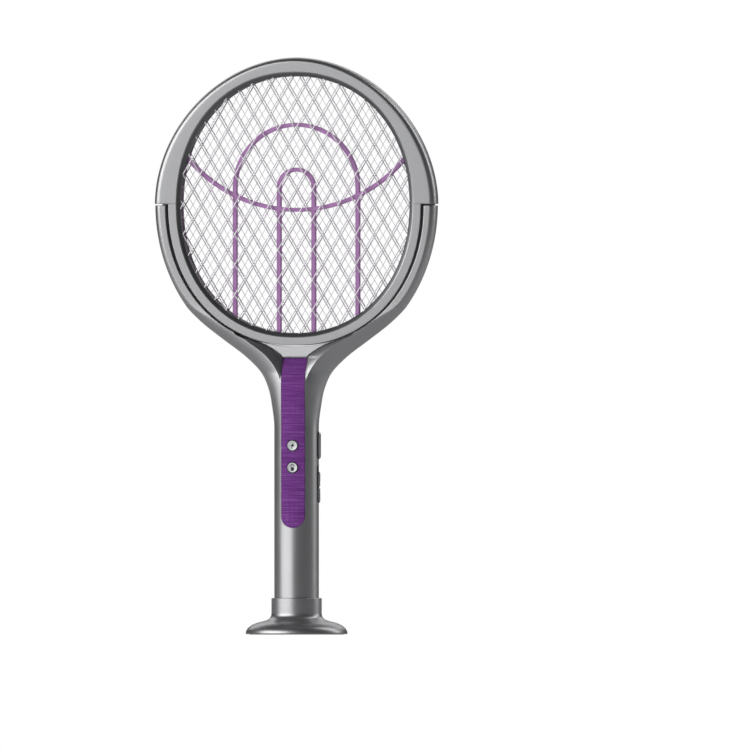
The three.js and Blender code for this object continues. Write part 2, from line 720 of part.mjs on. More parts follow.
function tailCap() {
  const spigot = HANDLE_R - WALL - 0.5;
  return lathe([[0, TAIL_Z], [HANDLE_R - 0.8, TAIL_Z], [HANDLE_R, TAIL_Z + 0.8],
    [HANDLE_R, SHELL_Z - GAP], [spigot, SHELL_Z - GAP], [spigot, 11], [spigot - 2, 11],
    [spigot - 2, SHELL_Z - GAP], [0, SHELL_Z - GAP]], 24);
}

// Wire from the board to an arm tip, along the middle of the arm's channel.
function armLead() {
  const radius = 0.7;
  const climb = [214, 221, 228, 235, 242, 249, 256, 263, 270, 284, 300, 320, 340, 362];
  const channelIn = (z) => {
    const rise = (z - HEAD_Z) / (ARM_IN_Z + WALL);
    const oval = rise > -1 ? (ARM_IN_X + WALL) * (1 - Math.abs(rise) ** OVAL_FULL) ** (1 / OVAL_FULL) : 0;
    return Math.max(oval, curveAt(VALLEY_CURVE, z) * (z < 266 ? 1 : 0) + WALL);
  };
  const path = [new THREE.Vector3(9, -4, 196), new THREE.Vector3(13, -2, 205)];
  for (const z of climb) {
    path.push(new THREE.Vector3((channelIn(z) + outerHalf(z) - WALL) / 2, 0, z));
  }
  const section = shapeOf(Array.from({ length: 6 }, (_, i) => [
    radius * Math.cos((i * Math.PI) / 3), radius * Math.sin((i * Math.PI) / 3)]));
  return solidOf(new THREE.ExtrudeGeometry(section,
    { steps: 30, bevelEnabled: false, extrudePath: new THREE.CatmullRomCurve3(path) }));
}

function hingePin() {
  return hingeRod(PIN_R, [HEAD_KNUCKLE[0] + 1.6, ARM_KNUCKLE[1] - 0.3]);
}

// ---- Controls -----------------------------------------------------------------------------
// Round push-button: cap with a chamfered edge, retaining flange and stem.
function roundButton(z) {
  const stem = SWITCH_TOP - FRONT_TRAVEL - GAP;
  const [flangeFront, flangeBack] = FLANGE_Y;
  const stemR = 1.6;
  const flangeR = BUTTON_R + 0.9;
  const edge = 0.5;
  const profile = [[0, stem], [stemR, stem], [stemR, flangeBack], [flangeR, flangeBack],
    [flangeR, flangeFront], [BUTTON_R, flangeFront], [BUTTON_R, BUTTON_TOP + edge],
    [BUTTON_R - edge, BUTTON_TOP], [0, BUTTON_TOP]];
  const geometry = new THREE.LatheGeometry(profile.map(([r, y]) => new THREE.Vector2(r, y)).reverse(), 20);
  geometry.translate(0, 0, z);
  return solidOf(geometry);
}

// Oblong push-button on the side: retaining flange, body and a narrower crown.
function triggerButton() {
  const [flangeIn, bodyIn, crownIn, face] = TRIGGER_X;
  const grown = (margin) => TRIGGER_HALF.map((value) => value + margin);
  return join([
    sideSlab(grown(FLANGE_REACH), ZAP_Z, flangeIn, bodyIn + OVERLAP),
    sideSlab(TRIGGER_HALF, ZAP_Z, bodyIn, crownIn + OVERLAP),
    sideSlab(grown(-0.6), ZAP_Z, crownIn, face),
  ]);
}

// Knob of the slide switch: retaining flange and body with a notch for the thumb.
function powerSlider() {
  const [flangeIn, bodyIn, face] = SLIDER_X;
  const [notchHalf, notchDeep] = [1.1, 0.9];
  const flangeHalf = SLIDER_HALF.map((value) => value + FLANGE_REACH);
  const flange = sideSlab(flangeHalf, SLIDER_Z, flangeIn, bodyIn + OVERLAP);
  const notch = block([face - notchDeep, -FAR, SLIDER_Z - notchHalf], [FAR, FAR, SLIDER_Z + notchHalf]);
  return flange.add(sideSlab(SLIDER_HALF, SLIDER_Z, bodyIn, face)).subtract(notch);
}

// ---- Inside the handle --------------------------------------------------------------------
// Charging socket: a shallow can, open towards the back.
function usbSocket() {
  const body = block([-USB.half, USB.front, USB.low], [USB.half, USB.rear, USB.high]);
  const mouth = block([USB.wall - USB.half, USB.front + 2, USB.low + USB.wall],
    [USB.half - USB.wall, FAR, USB.high - USB.wall]);
  return body.subtract(mouth);
}

// Block with a narrower waist where the winding sits.
function transformer() {
  const [low, high] = TRANSFORMER;
  const flange = 3.5;
  const waist = 1.5;
  const band = [low[2] + flange, high[2] - flange];
  const ringOut = block([low[0] - 1, low[1] - 1, band[0]], [high[0] + 1, high[1] + 1, band[1]]);
  const ringIn = block([low[0] + waist, low[1] + waist, band[0] - 1],
    [high[0] - waist, high[1] - waist, band[1] + 1]);
  return block(low, high).subtract(ringOut.subtract(ringIn));
}

// Tact switch on the main board, centred at height z.
function frontSwitch(z) {
  const [half, back] = FRONT_SWITCH;
  return block([-half, SWITCH_TOP, z - half], [half, back, z + half]);
}

// Switch on the side board, centred at height z.
function sideSwitch(z, halfHeight) {
  const [low, high, half] = SIDE_SWITCH;
  return block([low, -half, z - halfHeight], [high, half, z + halfHeight]);
}

function cell() {
  return rod(CELL.radius, [0, CELL.y, CELL.low], [0, CELL.y, CELL.high], 28);
}

function capacitor(z) {
  const [x, front, rear, radius] = CAPACITOR;
  return rod(radius, [x, front, z], [x, rear, z], 20);
}

// ---- Stand --------------------------------------------------------------------------------
function bezierPoints(a, b, c, d, steps) {
  const curve = new THREE.CubicBezierCurve(...[a, b, c, d].map(([r, z]) => new THREE.Vector2(r, z)));
  return curve.getPoints(steps).map((point) => [point.x, point.y]);
}

// Shell of the stand: socket collar that flares out into the foot, hollow below for ballast and sole.
function standShell() {
  const fillet = bezierPoints([COLLAR_R, FLARE_Z], [COLLAR_R, 13.5], [25.5, 12.6], FLARE_MIDDLE, 5);
  const skirt = bezierPoints(FLARE_MIDDLE, [34.5, 10.1], [40.8, 6.2], [RIM_R, 2.8], 4);
  const top = 0.5;
  return lathe([
    [0, SOCKET_Z], [SOCKET_R, SOCKET_Z], [SOCKET_R, COLLAR_Z - top], [SOCKET_R + top, COLLAR_Z],
    [COLLAR_R - top, COLLAR_Z], [COLLAR_R, COLLAR_Z - top],
    ...fillet, ...skirt.slice(1),
    [RIM_R - 0.5, 1.4], [RIM_R - 1.8, 0.7], [SOLE_R + GAP, 0.7], [SOLE_R + GAP, SOLE_TOP + GAP],
    [WEIGHT[1] + GAP, SOLE_TOP + GAP], [WEIGHT[1] + GAP, WEIGHT[3] + GAP],
    [WEIGHT[0] - GAP, WEIGHT[3] + GAP], [WEIGHT[0] - GAP, SOLE_TOP + GAP], [0, SOLE_TOP + GAP],
  ].reverse(), 32);
}

function standWeight() {
  const [inner, outer, low, high] = WEIGHT;
  return lathe([[inner, low], [outer, low], [outer, high], [inner, high], [inner, low]], 28);
}

function standSole() {
  const chamfer = 0.4;
  return lathe([[0, SOLE_TOP], [SOLE_R, SOLE_TOP], [SOLE_R, chamfer], [SOLE_R - chamfer, 0], [0, 0]]
    .reverse(), 32);
}

// ---- Assembly -----------------------------------------------------------------------------
function standParts() {
  return [
    part('stand_shell', standShell(), bodyGrey()),
    part('stand_weight', standWeight(), steel()),
    part('stand_sole', standSole(), rubberBlack()),
  ];
}

function handleParts() {
  const { front, rear } = halves(fork());
  const lead = armLead();
  const pin = hingePin();
  return [
    part('handle_front_shell', front, bodyGrey()),
    part('handle_rear_shell', rearShell(rear), bodyGrey()),
    part('fabric_inlay', fabricInlay(), fabricPurple()),
    part('tail_cap', tailCap(), bodyGrey()),
    part('hinge_pin_right', pin, steel()),
    part('hinge_pin_left', mirrored(pin), steel()),
    part('arm_lead_right', lead, leadRed()),
    part('arm_lead_left', mirrored(lead), leadRed()),
    ...SHELL_SCREWS.map(([x, z, headY, tipY], i) => (
      part(`shell_screw_${i + 1}`, screw(x, z, headY, tipY), steel()))),
  ];
}

function electronicParts() {
  return [
    part('battery_cell', cell(), cellBlue()),
    part('main_board', block(...MAIN_BOARD), boardGreen()),
    part('side_board', block(...SIDE_BOARD), boardGreen()),
    part('zap_switch', frontSwitch(ZAP_Z), darkPlastic()),
    part('mode_switch', frontSwitch(MODE_Z), darkPlastic()),
    part('trigger_switch', sideSwitch(ZAP_Z, 3), darkPlastic()),
    part('slide_switch', sideSwitch(SLIDER_Z, 6), darkPlastic()),
    part('hv_transformer', transformer(), copper()),
    part('usb_socket', usbSocket(), steel()),
    ...CAPACITOR_Z.map((z, i) => part(`hv_capacitor_${i + 1}`, capacitor(z), cellBlue())),
  ];
}

function headParts() {
  return [
    part('front_bezel', frontBezel(), bodyGrey()),
    part('rear_bezel', rearBezel(), bodyGrey()),
    part('front_guard_mesh', guard(-GUARD_Y), wireSilver()),
    part('rear_guard_mesh', guard(GUARD_Y), wireSilver()),
    part('live_grid', liveGrid(), wireSilver()),
    part('front_spacer_ribs', spacerRibs(-RIB_FAR, -RIB_NEAR), ribViolet()),
    part('rear_spacer_ribs', spacerRibs(RIB_NEAR, RIB_FAR), ribViolet()),
    ...headScrewPlaces().map(([x, z], i) => (
      part(`head_screw_${i + 1}`, screw(x, z, HEAD_SCREW_Y, HEAD_SCREW_TIP), steel()))),
  ];
}

function controlParts() {
  return [
    part('zap_button', roundButton(ZAP_Z), buttonSilver()),
    part('mode_button', roundButton(MODE_Z), buttonSilver()),
    part('trigger_button', triggerButton(), bodyGrey()),
    part('power_slider', powerSlider(), bodyGrey()),
  ];
}

const swatter = new THREE.Group();
swatter.name = 'fly_swatter';
swatter.add(...standParts(), ...handleParts(), ...electronicParts(), ...headParts(), ...controlParts());

export default swatter;
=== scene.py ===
"""Looks for the electric fly swatter: fine shells, wire grids, woven inlay, controls, stand and light."""
import json
import math

import bmesh
import bpy
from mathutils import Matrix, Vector


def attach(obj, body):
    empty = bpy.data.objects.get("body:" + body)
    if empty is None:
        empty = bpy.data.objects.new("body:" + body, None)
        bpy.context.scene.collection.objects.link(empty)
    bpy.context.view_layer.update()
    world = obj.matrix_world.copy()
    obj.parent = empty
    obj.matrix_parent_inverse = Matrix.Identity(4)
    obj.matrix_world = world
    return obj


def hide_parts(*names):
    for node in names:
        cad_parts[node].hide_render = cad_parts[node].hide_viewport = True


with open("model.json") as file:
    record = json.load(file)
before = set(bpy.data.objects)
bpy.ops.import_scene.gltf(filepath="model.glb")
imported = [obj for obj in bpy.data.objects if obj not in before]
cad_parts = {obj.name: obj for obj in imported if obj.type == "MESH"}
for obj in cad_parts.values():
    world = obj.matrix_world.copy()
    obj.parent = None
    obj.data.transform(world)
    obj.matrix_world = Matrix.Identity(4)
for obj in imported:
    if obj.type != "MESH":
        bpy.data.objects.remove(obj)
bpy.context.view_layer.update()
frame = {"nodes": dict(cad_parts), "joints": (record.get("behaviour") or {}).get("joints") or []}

MM = 0.001
JOINTS = {joint["name"]: joint for joint in frame["joints"]}

# ---- Sizes in millimetres, in the frame of the CAD ------------------------------------------
HEAD_Z = JOINTS["head_fold"]["pos_m"][2] / MM
HINGE_Y = JOINTS["head_fold"]["pos_m"][1] / MM
SPLIT = 0.15
OVAL_X, OVAL_Z, OVAL_FULL = 104.9, 115.5, 2.12
HALF_DEPTH = 10.0
BAND = 7.0
CRESCENT_X, CRESCENT_Z, CRESCENT_FULL = 119.0, 123.8, 1.92
BULGE_X, BULGE_Z = 6.1, 4.3
SIDE_SOFT = 0.85
FACE_STEP = 4.0
SEAM = 0.6
LIP_IN = -4.0
CORE_HALF = 3.6
CORE_WALL = 1.8

CELL_X, CELL_Z = 15.3, 26.2
GUARD_Y = 6.5
GUARD_WIRE = 1.1
LIVE_WIRE = 0.5
RIB_WIDE, RIB_NEAR, RIB_FAR = 3.5, 0.9, 3.3
RIM_INSET = 0.9
OUTER_ARCH, INNER_ARCH, ARCH_RISE = 54.3, 15.3, 15.2
OUTER_DROP, INNER_DROP = 98.5, 113.5
CROSS_R, CROSS_RISE, CROSS_REACH = 125.2, 120.7, 99.5

HANDLE_R = 19.4
WALL = 2.0
SHELL_Z = 9.0
ARM_IN_X, ARM_IN_Z = 114.2, 123.2
ARM_BACK_Z = 124.4
ARM_OUT_X, ARM_OUT_Z = 124.8, 141.5
ARM_JOIN_Z = 284.1
# Half width, half depth and width of the rounding, as (height, value) pairs up the handle and fork.
OUT_CURVE = [(180, HANDLE_R), (200.5, 21.7), (214.5, 24.8), (228.4, 31.5), (242.3, 45.4),
             (256.2, 64), (270.1, 82.1), (ARM_JOIN_Z, 96.4), (295.4, 103.8)]
DEPTH_CURVE = [(200, HANDLE_R), (221, 18.9), (242, 16), (270, 11.6), (290, HALF_DEPTH),
               (HEAD_Z, HALF_DEPTH)]
SOFT_CURVE = [(180, HANDLE_R), (221, 30), (242, 33), (256, 30), (270, 20), (284, 9), (300, 6),
              (HEAD_Z, 5.6)]
MEET_Z = 263.0
MEET_X = ARM_IN_X * (1 - ((HEAD_Z - MEET_Z) / ARM_IN_Z) ** OVAL_FULL) ** (1 / OVAL_FULL)
# Inner edge of the arm's front and foot of the valley's wall, as (height, half width) pairs.
EDGE_CURVE = [(217, 11.2), (228, 13.9), (242, 23.9), (256, 42.5), (MEET_Z, MEET_X)]
FOOT_CURVE = [(241, 10.7), (246.6, 16.5), (252, 25.5), (256.4, 36.8), (MEET_Z, MEET_X)]
WALL_EASE = 0.45
WEB_LOW, WEB_HIGH = 240.9, 258.0
WEB_FRONT = (-8.4, -6.0)
VALLEY_FLOOR, REAR_FLOOR = 5.5, 8.0
EDGE_SOFT = 0.7

STRIP_HALF = 10.45
STRIP_LOW, STRIP_TOP = 92.7, 240.6
STRIP_BEND = STRIP_LOW + STRIP_HALF
VALLEY_Z = 219.0
VALLEY_EASE = 1.6
RECESS = 0.85

BUTTON_R = 4.5
BUTTON_Z = {"zap_button": 164.4, "mode_button": 145.3}
TRIGGER_HALF, TRIGGER_X = (3.3, 11.65), 21.2
SLIDER_HALF, SLIDER_X = (3.3, 13.5), 20.5
SLIDER_Z = 128.1
SLOT_LOW, SLOT_HIGH = 114.2, 148.3
SIDE_GAP = 0.8
FLANGE = 1.5
THROUGH_FRONT = (-30, -10)
THROUGH_SIDE = [(14, 0), (30, 0)]

KNUCKLE_R, PIN_R = 3.0, 1.2
HEAD_KNUCKLE = (105.6, 113.5)
ARM_KNUCKLE = (114.4, 120.4)

SCREW_R, SCREW_HEAD_R, SCREW_HEAD_DEEP = 0.95, 1.8, 1.4
HEAD_SCREW_IN = 4.2
HEAD_SCREWS = [math.radians(a) for a in (35, 90, 145, 215, 270, 325)]
SHELL_SCREWS = [(0, 15, 17.2, -8), (-8.5, 233, 10.8, -5), (8.5, 233, 10.8, -5)]
USB_HALF, USB_LOW, USB_HIGH = 4.5, 90.0, 93.3

STAND_R, STAND_LOW = 44.3, 0.3
COLLAR_R, COLLAR_TOP = 21.9, 31.8
SOCKET_R, SOCKET_FLOOR = 19.75, 6.0
SOLE_ROOM = (41.5, 1.9)
BALLAST_IN, BALLAST_OUT, BALLAST_TOP = 22.3, 36.7, 6.3

# Rows and columns of the fine skins.
OUTER_COUNT = 19
SIDE_COUNT = 34
EDGE_STEPS = 6
FLOOR_COLUMNS = 30


# ---- Mesh helpers ---------------------------------------------------------------------------
def curve_at(pairs, z):
    """Smooth value at height z through (height, value) pairs, flat outside them."""
    if z <= pairs[0][0]:
        return pairs[0][1]
    if z >= pairs[-1][0]:
        return pairs[-1][1]
    i = next(k for k, pair in enumerate(pairs) if pair[0] > z) - 1

    def slope(k):
        if k in (0, len(pairs) - 1):
            return 0
        return (pairs[k + 1][1] - pairs[k - 1][1]) / (pairs[k + 1][0] - pairs[k - 1][0])

    span = pairs[i + 1][0] - pairs[i][0]
    t = (z - pairs[i][0]) / span
    mix = t * t * (3 - 2 * t)
    pull = t * (1 - t) * span
    return (pairs[i][1] * (1 - mix) + pairs[i + 1][1] * mix
            + pull * ((1 - t) * slope(i) - t * slope(i + 1)))


def spread(low, high, count):
    """count + 1 even values from low to high."""
    return [low + (high - low) * k / count for k in range(count + 1)]


def new_object(name, mesh, material):
    """An object in the scene with this mesh and one material."""
    piece = bpy.data.objects.new(name, mesh)
    bpy.context.scene.collection.objects.link(piece)
    mesh.materials.append(material)
    return piece


def mesh_from(name, points, faces, material, weld=0.0005):
    """An object from points in millimetres; doubled points are welded and normals face out."""
    mesh = bpy.data.meshes.new(name)
    mesh.from_pydata([Vector(p) * MM for p in points], [], faces)
    work = bmesh.new()
    work.from_mesh(mesh)
    bmesh.ops.remove_doubles(work, verts=work.verts, dist=weld * MM)
    bmesh.ops.dissolve_degenerate(work, edges=work.edges, dist=weld * MM)
    bmesh.ops.recalc_face_normals(work, faces=work.faces)
    work.to_mesh(mesh)
    work.free()
    return new_object(name, mesh, material)


def grid_faces(rows, columns, first=0, wrap_rows=False, wrap_columns=False):
    """Quads over a grid of points stored row by row."""
    faces = []
    for i in range(rows if wrap_rows else rows - 1):
        for j in range(columns if wrap_columns else columns - 1):
            a = first + i * columns + j
            b = first + i * columns + (j + 1) % columns
            c = first + ((i + 1) % rows) * columns + (j + 1) % columns
            d = first + ((i + 1) % rows) * columns + j
            faces.append((a, b, c, d))
    return faces


def capped_faces(rows, columns, first=0):
    """Faces of a bar made of closed sections stored one after another, with both ends capped."""
    last = first + (rows - 1) * columns
    caps = [tuple(range(first, first + columns)), tuple(range(last, last + columns))]
    return grid_faces(rows, columns, first, wrap_columns=True) + caps


def smooth(piece, degrees=32):
    """Smooth shading that keeps real corners crisp."""
    for polygon in piece.data.polygons:
        polygon.use_smooth = True
    piece.data.set_sharp_from_angle(angle=math.radians(degrees))
    weighted = piece.modifiers.new("weighted", "WEIGHTED_NORMAL")
    weighted.keep_sharp = True
    weighted.weight = 60
    return piece


def apply_modifiers(piece):
    """Makes the shape that the modifiers give the piece's own mesh."""
    graph = bpy.context.evaluated_depsgraph_get()
    graph.update()
    mesh = bpy.data.meshes.new_from_object(piece.evaluated_get(graph))
    old = piece.data
    piece.modifiers.clear()
    piece.data = mesh
    bpy.data.meshes.remove(old)
    return piece


def boolean(piece, tool, operation):
    """Joins or cuts with another piece and removes that piece."""
    modifier = piece.modifiers.new("boolean", "BOOLEAN")
    modifier.operation = operation
    modifier.solver = "MANIFOLD"
    modifier.material_mode = "TRANSFER"
    modifier.object = tool
    apply_modifiers(piece)
    bpy.data.objects.remove(tool)
    return piece


def paint_gap_shade(piece, axis, limit):
    """Paints the part of a control that lies inside the housing black: painted shade in the gap round the
    control.
    """
    piece.data.materials.append(BLACK_AND_SHADE)
    for polygon in piece.data.polygons:
        if abs(polygon.center[axis]) < limit * MM:
            polygon.material_index = len(piece.data.materials) - 1


def soften_sides(piece, share):
    """Turns shading normals towards the front, as matt threads catch light from every side."""
    normals = []
    for corner in piece.data.corner_normals:
        normal = corner.vector.copy()
        if normal.y < -0.5:
            normal.x *= 1 - share
            normal.normalize()
        normals.append(normal)
    piece.data.normals_split_custom_set(normals)


def flipped(points):
    """The same points on the other side of the middle."""
    return [(-x, y, z) for x, y, z in points]


def prism(name, outline, axis, low, high, material):
    """A closed outline pushed along an axis: for "y" it is (x, z), for "x" it is (y, z)."""
    points = [(u, along, v) if axis == "y" else (along, u, v) for along in (low, high) for u, v in outline]
    return mesh_from(name, points, capped_faces(2, len(outline)), material)


def oblong(half, centre_z):
    """Outline of an upright oblong with round ends, as (y, z)."""
    wide, high = half
    straight, steps = high - wide, 14
    return (arc_corner((0, centre_z + straight), wide, 0, 180, steps)
            + arc_corner((0, centre_z - straight), wide, 180, 360, steps))


def turned(name, profile, centre, axis, material, count=64):
    """A turned piece: (radius, distance) pairs round an axis line through centre."""
    points = []
    for radius, along in profile:
        for k in range(count):
            a = 2 * math.pi * k / count
            u, v = radius * math.cos(a), radius * math.sin(a)
            offset = {"x": (along, u, v), "y": (u, along, v), "z": (u, v, along)}[axis]
            points.append(tuple(centre[i] + offset[i] for i in range(3)))
    if profile[0][0] > 0:
        faces = capped_faces(len(profile), count)
    else:
        faces = grid_faces(len(profile), count, wrap_columns=True)
    return mesh_from(name, points, faces, material)


def arc_corner(centre, radius, start, end, steps=4):
    """Points of a circular corner, angles in degrees."""
    return [(centre[0] + radius * math.cos(math.radians(a)), centre[1] + radius * math.sin(math.radians(a)))
            for a in spread(start, end, steps)]


# ---- Materials ------------------------------------------------------------------------------
FABRIC_DARK = (0.155, 0.022, 0.24)
FABRIC_MID = (0.22, 0.04, 0.325)
FABRIC_LIGHT = (0.34, 0.105, 0.46)


def shader_of(name):
    """A new material with its node tree and its main shader."""
    material = bpy.data.materials.new(name)
    material.use_nodes = True
    tree = material.node_tree
    return material, tree, tree.nodes["Principled BSDF"]


def object_place(tree, stretch):
    """Object coordinates in metres, stretched per axis."""
    place = tree.nodes.new("ShaderNodeTexCoord")
    mapping = tree.nodes.new("ShaderNodeMapping")
    mapping.inputs["Scale"].default_value = stretch
    tree.links.new(place.outputs["Object"], mapping.inputs["Vector"])
    return mapping.outputs["Vector"]


def noise(tree, place, scale, detail=3.0, rough=0.55):
    """A noise value over those coordinates."""
    node = tree.nodes.new("ShaderNodeTexNoise")
    node.inputs["Scale"].default_value = scale
    node.inputs["Detail"].default_value = detail
    node.inputs["Roughness"].default_value = rough
    tree.links.new(place, node.inputs["Vector"])
    return node.outputs["Fac"]


def ramp(tree, value, stops):
    """Colour of a value through (position, colour) stops."""
    node = tree.nodes.new("ShaderNodeValToRGB")
    while len(node.color_ramp.elements) < len(stops):
        node.color_ramp.elements.new(0.5)
    for element, (position, colour) in zip(node.color_ramp.elements, stops):
        element.position = position
        element.color = (*colour, 1)
    tree.links.new(value, node.inputs["Fac"])
    return node.outputs["Color"]


def spread_value(tree, value, low, high):
    """The middle part of a noise value stretched from low to high."""
    node = tree.nodes.new("ShaderNodeMapRange")
    node.inputs["From Min"].default_value = 0.3
    node.inputs["From Max"].default_value = 0.7
    node.inputs["To Min"].default_value = low
    node.inputs["To Max"].default_value = high
    tree.links.new(value, node.inputs["Value"])
    return node.outputs["Result"]


def bump(tree, shader, height, distance):
    """Relief of that depth in metres from a height value."""
    node = tree.nodes.new("ShaderNodeBump")
    node.inputs["Distance"].default_value = distance
    tree.links.new(height, node.inputs["Height"])
    tree.links.new(node.outputs["Normal"], shader.inputs["Normal"])


def surface_material(name, colour, roughness, metallic=0.0, vary=0.06, grain=900.0, relief=0.00001,
                     stretch=(1, 1, 1)):
    """Colour, roughness and relief that vary in fine grain and in broad soft patches."""
    material, tree, shader = shader_of(name)
    place = object_place(tree, stretch)
    fine = noise(tree, place, grain)
    broad = noise(tree, place, 22.0, 2.0)
    dark = tuple(value * (1 - vary) for value in colour)
    light = tuple(min(1, value * (1 + vary)) for value in colour)
    tone = ramp(tree, fine, [(0.3, dark), (0.7, light)])
    patch = ramp(tree, broad, [(0.3, (1 - vary / 2,) * 3), (0.7, (1, 1, 1))])
    mix = tree.nodes.new("ShaderNodeMix")
    mix.data_type = "RGBA"
    mix.blend_type = "MULTIPLY"
    mix.inputs["Factor"].default_value = 1
    tree.links.new(tone, mix.inputs["A"])
    tree.links.new(patch, mix.inputs["B"])
    tree.links.new(mix.outputs["Result"], shader.inputs["Base Color"])
    tree.links.new(spread_value(tree, broad, roughness * 0.93, roughness * 1.07), shader.inputs["Roughness"])
    shader.inputs["Metallic"].default_value = metallic
    bump(tree, shader, fine, relief)
    return material


def linen_material(name):
    """Purple linen: uneven threads across the strip over finer ones along it."""
    material, tree, shader = shader_of(name)
    across = object_place(tree, (38, 20, 1250))
    along = object_place(tree, (1700, 600, 45))
    weft = noise(tree, across, 1.0, 3.5, 0.62)
    warp = noise(tree, along, 1.0, 2.0, 0.5)
    blend = tree.nodes.new("ShaderNodeMix")
    blend.data_type = "FLOAT"
    blend.inputs["Factor"].default_value = 0.24
    tree.links.new(weft, blend.inputs["A"])
    tree.links.new(warp, blend.inputs["B"])
    height = blend.outputs["Result"]
    tone = ramp(tree, height, [(0.36, FABRIC_DARK), (0.5, FABRIC_MID), (0.64, FABRIC_LIGHT)])
    tree.links.new(tone, shader.inputs["Base Color"])
    tree.links.new(spread_value(tree, warp, 0.72, 0.92), shader.inputs["Roughness"])
    shader.inputs["Sheen Weight"].default_value = 0.12
    bump(tree, shader, height, 0.00022)
    return material


PAINT = surface_material("satin_grey", (0.45, 0.451, 0.458), 0.37, 0.91, vary=0.03, grain=1600,
                         relief=0.000002)
# Darker grey for the ring's inner lip: painted shade inside the ring, not a colour of its own.
LIP_SHADE = surface_material("lip_painted_shade", (0.185, 0.185, 0.19), 0.42, 0.85, vary=0.04, grain=1600)
BUTTON = surface_material("button_silver", (0.74, 0.745, 0.76), 0.36, 0.5, vary=0.03, grain=1400)
INK = surface_material("symbol_ink", (0.012, 0.012, 0.014), 0.5, vary=0.25, grain=3000)
WIRE = surface_material("guard_wire", (0.90, 0.89, 0.91), 0.38, 0.6, vary=0.05, grain=2600)
LIVE = surface_material("live_wire", (0.80, 0.79, 0.81), 0.38, 0.6, vary=0.06, grain=2600)
VIOLET = surface_material("rib_violet", (0.60, 0.29, 0.64), 0.45, vary=0.06, grain=1200)
LINEN = linen_material("purple_linen")
RUBBER = surface_material("sole_rubber", (0.022, 0.022, 0.024), 0.82, vary=0.2, grain=1800, relief=0.00004)
STEEL = surface_material("screw_steel", (0.56, 0.56, 0.57), 0.32, 0.95, vary=0.05, grain=1800)
IRON = surface_material("weight_iron", (0.20, 0.20, 0.205), 0.62, 0.7, vary=0.14, grain=700, relief=0.00005)
BOARD = surface_material("board_green", (0.02, 0.13, 0.05), 0.45, vary=0.15, grain=1300)
# Black plastic for the switches inside; also painted shade on hidden control parts and on the walls of
# openings, wells and the slider's notch.
BLACK_AND_SHADE = surface_material("black_plastic", (0.02, 0.02, 0.022), 0.46, vary=0.12, grain=1500)
COPPER = surface_material("winding_copper", (0.62, 0.24, 0.09), 0.35, 0.85, vary=0.2, grain=260,
                          stretch=(1, 1, 9))
WRAP = surface_material("cell_wrap", (0.06, 0.15, 0.42), 0.34, vary=0.07, grain=900)
CAPACITOR = surface_material("capacitor_blue", (0.05, 0.17, 0.40), 0.4, vary=0.07, grain=900)
LEAD = surface_material("lead_red", (0.42, 0.02, 0.015), 0.42, vary=0.08, grain=1500)


# ---- Head housing ---------------------------------------------------------------------------
def oval(half_x, half_z, angle, full=OVAL_FULL):
    """Point of an oval about the head's centre; a fullness of 2 is an ellipse."""
    across, up = math.cos(angle), math.sin(angle)
    return (half_x * math.copysign(abs(across) ** (2 / full), across),
            HEAD_Z + half_z * math.copysign(abs(up) ** (2 / full), up))


def ring_inside():
    """Inner side of the head's section as (offset from the face's inner edge, depth), face first."""
    edge = arc_corner((0.3, HALF_DEPTH - 0.3), 0.3, 90, 190, 5)
    slope = [(-0.6, 9.3), (-1.6, 8.6), (-2.6, 7.85), (-3.45, 7.1), (-3.9, 5.8)]
    return edge + slope + [(LIP_IN, CORE_HALF), (CORE_WALL, CORE_HALF), (CORE_WALL, SPLIT)]


def band_outside():
    """Outer side of the lower ring as (half width, half height, depth)."""
    round_off = 0.6
    corner = arc_corner((BAND - round_off, HALF_DEPTH - round_off), round_off, 0, 90, 6)
    wall = [(BAND, depth) for depth in spread(SPLIT, HALF_DEPTH - round_off, OUTER_COUNT - len(corner))[:-1]]
    return [(OVAL_X + offset, OVAL_Z + offset, depth, OVAL_FULL) for offset, depth in wall + corner]


def crescent_outside(inset):
    """Outer side of the wide upper band: rounded side, then flat face."""
    points = []
    for k in range(OUTER_COUNT - 2):
        a = math.pi / 2 * (1 - k / (OUTER_COUNT - 3))
        out, up = abs(math.sin(a)) ** SIDE_SOFT, abs(math.cos(a)) ** SIDE_SOFT
        points.append((CRESCENT_X + (BULGE_X - inset) * out, CRESCENT_Z + (BULGE_Z - inset) * out,
                       max(SPLIT, (HALF_DEPTH - inset) * up), CRESCENT_FULL))
    for share in (0.6, 1.0):
        points.append((CRESCENT_X + share * (OVAL_X + FACE_STEP - CRESCENT_X),
                       CRESCENT_Z + share * (OVAL_Z + FACE_STEP - CRESCENT_Z), HALF_DEPTH - inset,
                       CRESCENT_FULL + share * (OVAL_FULL - CRESCENT_FULL)))
    return points


def head_section(outside, side, angle=None, height=0.0, left=False):
    """One section, at an oval angle or cut level at a height above the head's centre line."""
    inside = [(OVAL_X + offset, OVAL_Z + offset, depth, OVAL_FULL) for offset, depth in ring_inside()]
    section = []
    for half_x, half_z, depth, full in outside + inside:
        turn = angle
        if turn is None:
            turn = math.asin((height / half_z) ** (full / 2))
            turn = math.pi - turn if left else turn
        x, z = oval(half_x, half_z, turn, full)
        section.append((x, side * depth, z))
    return section


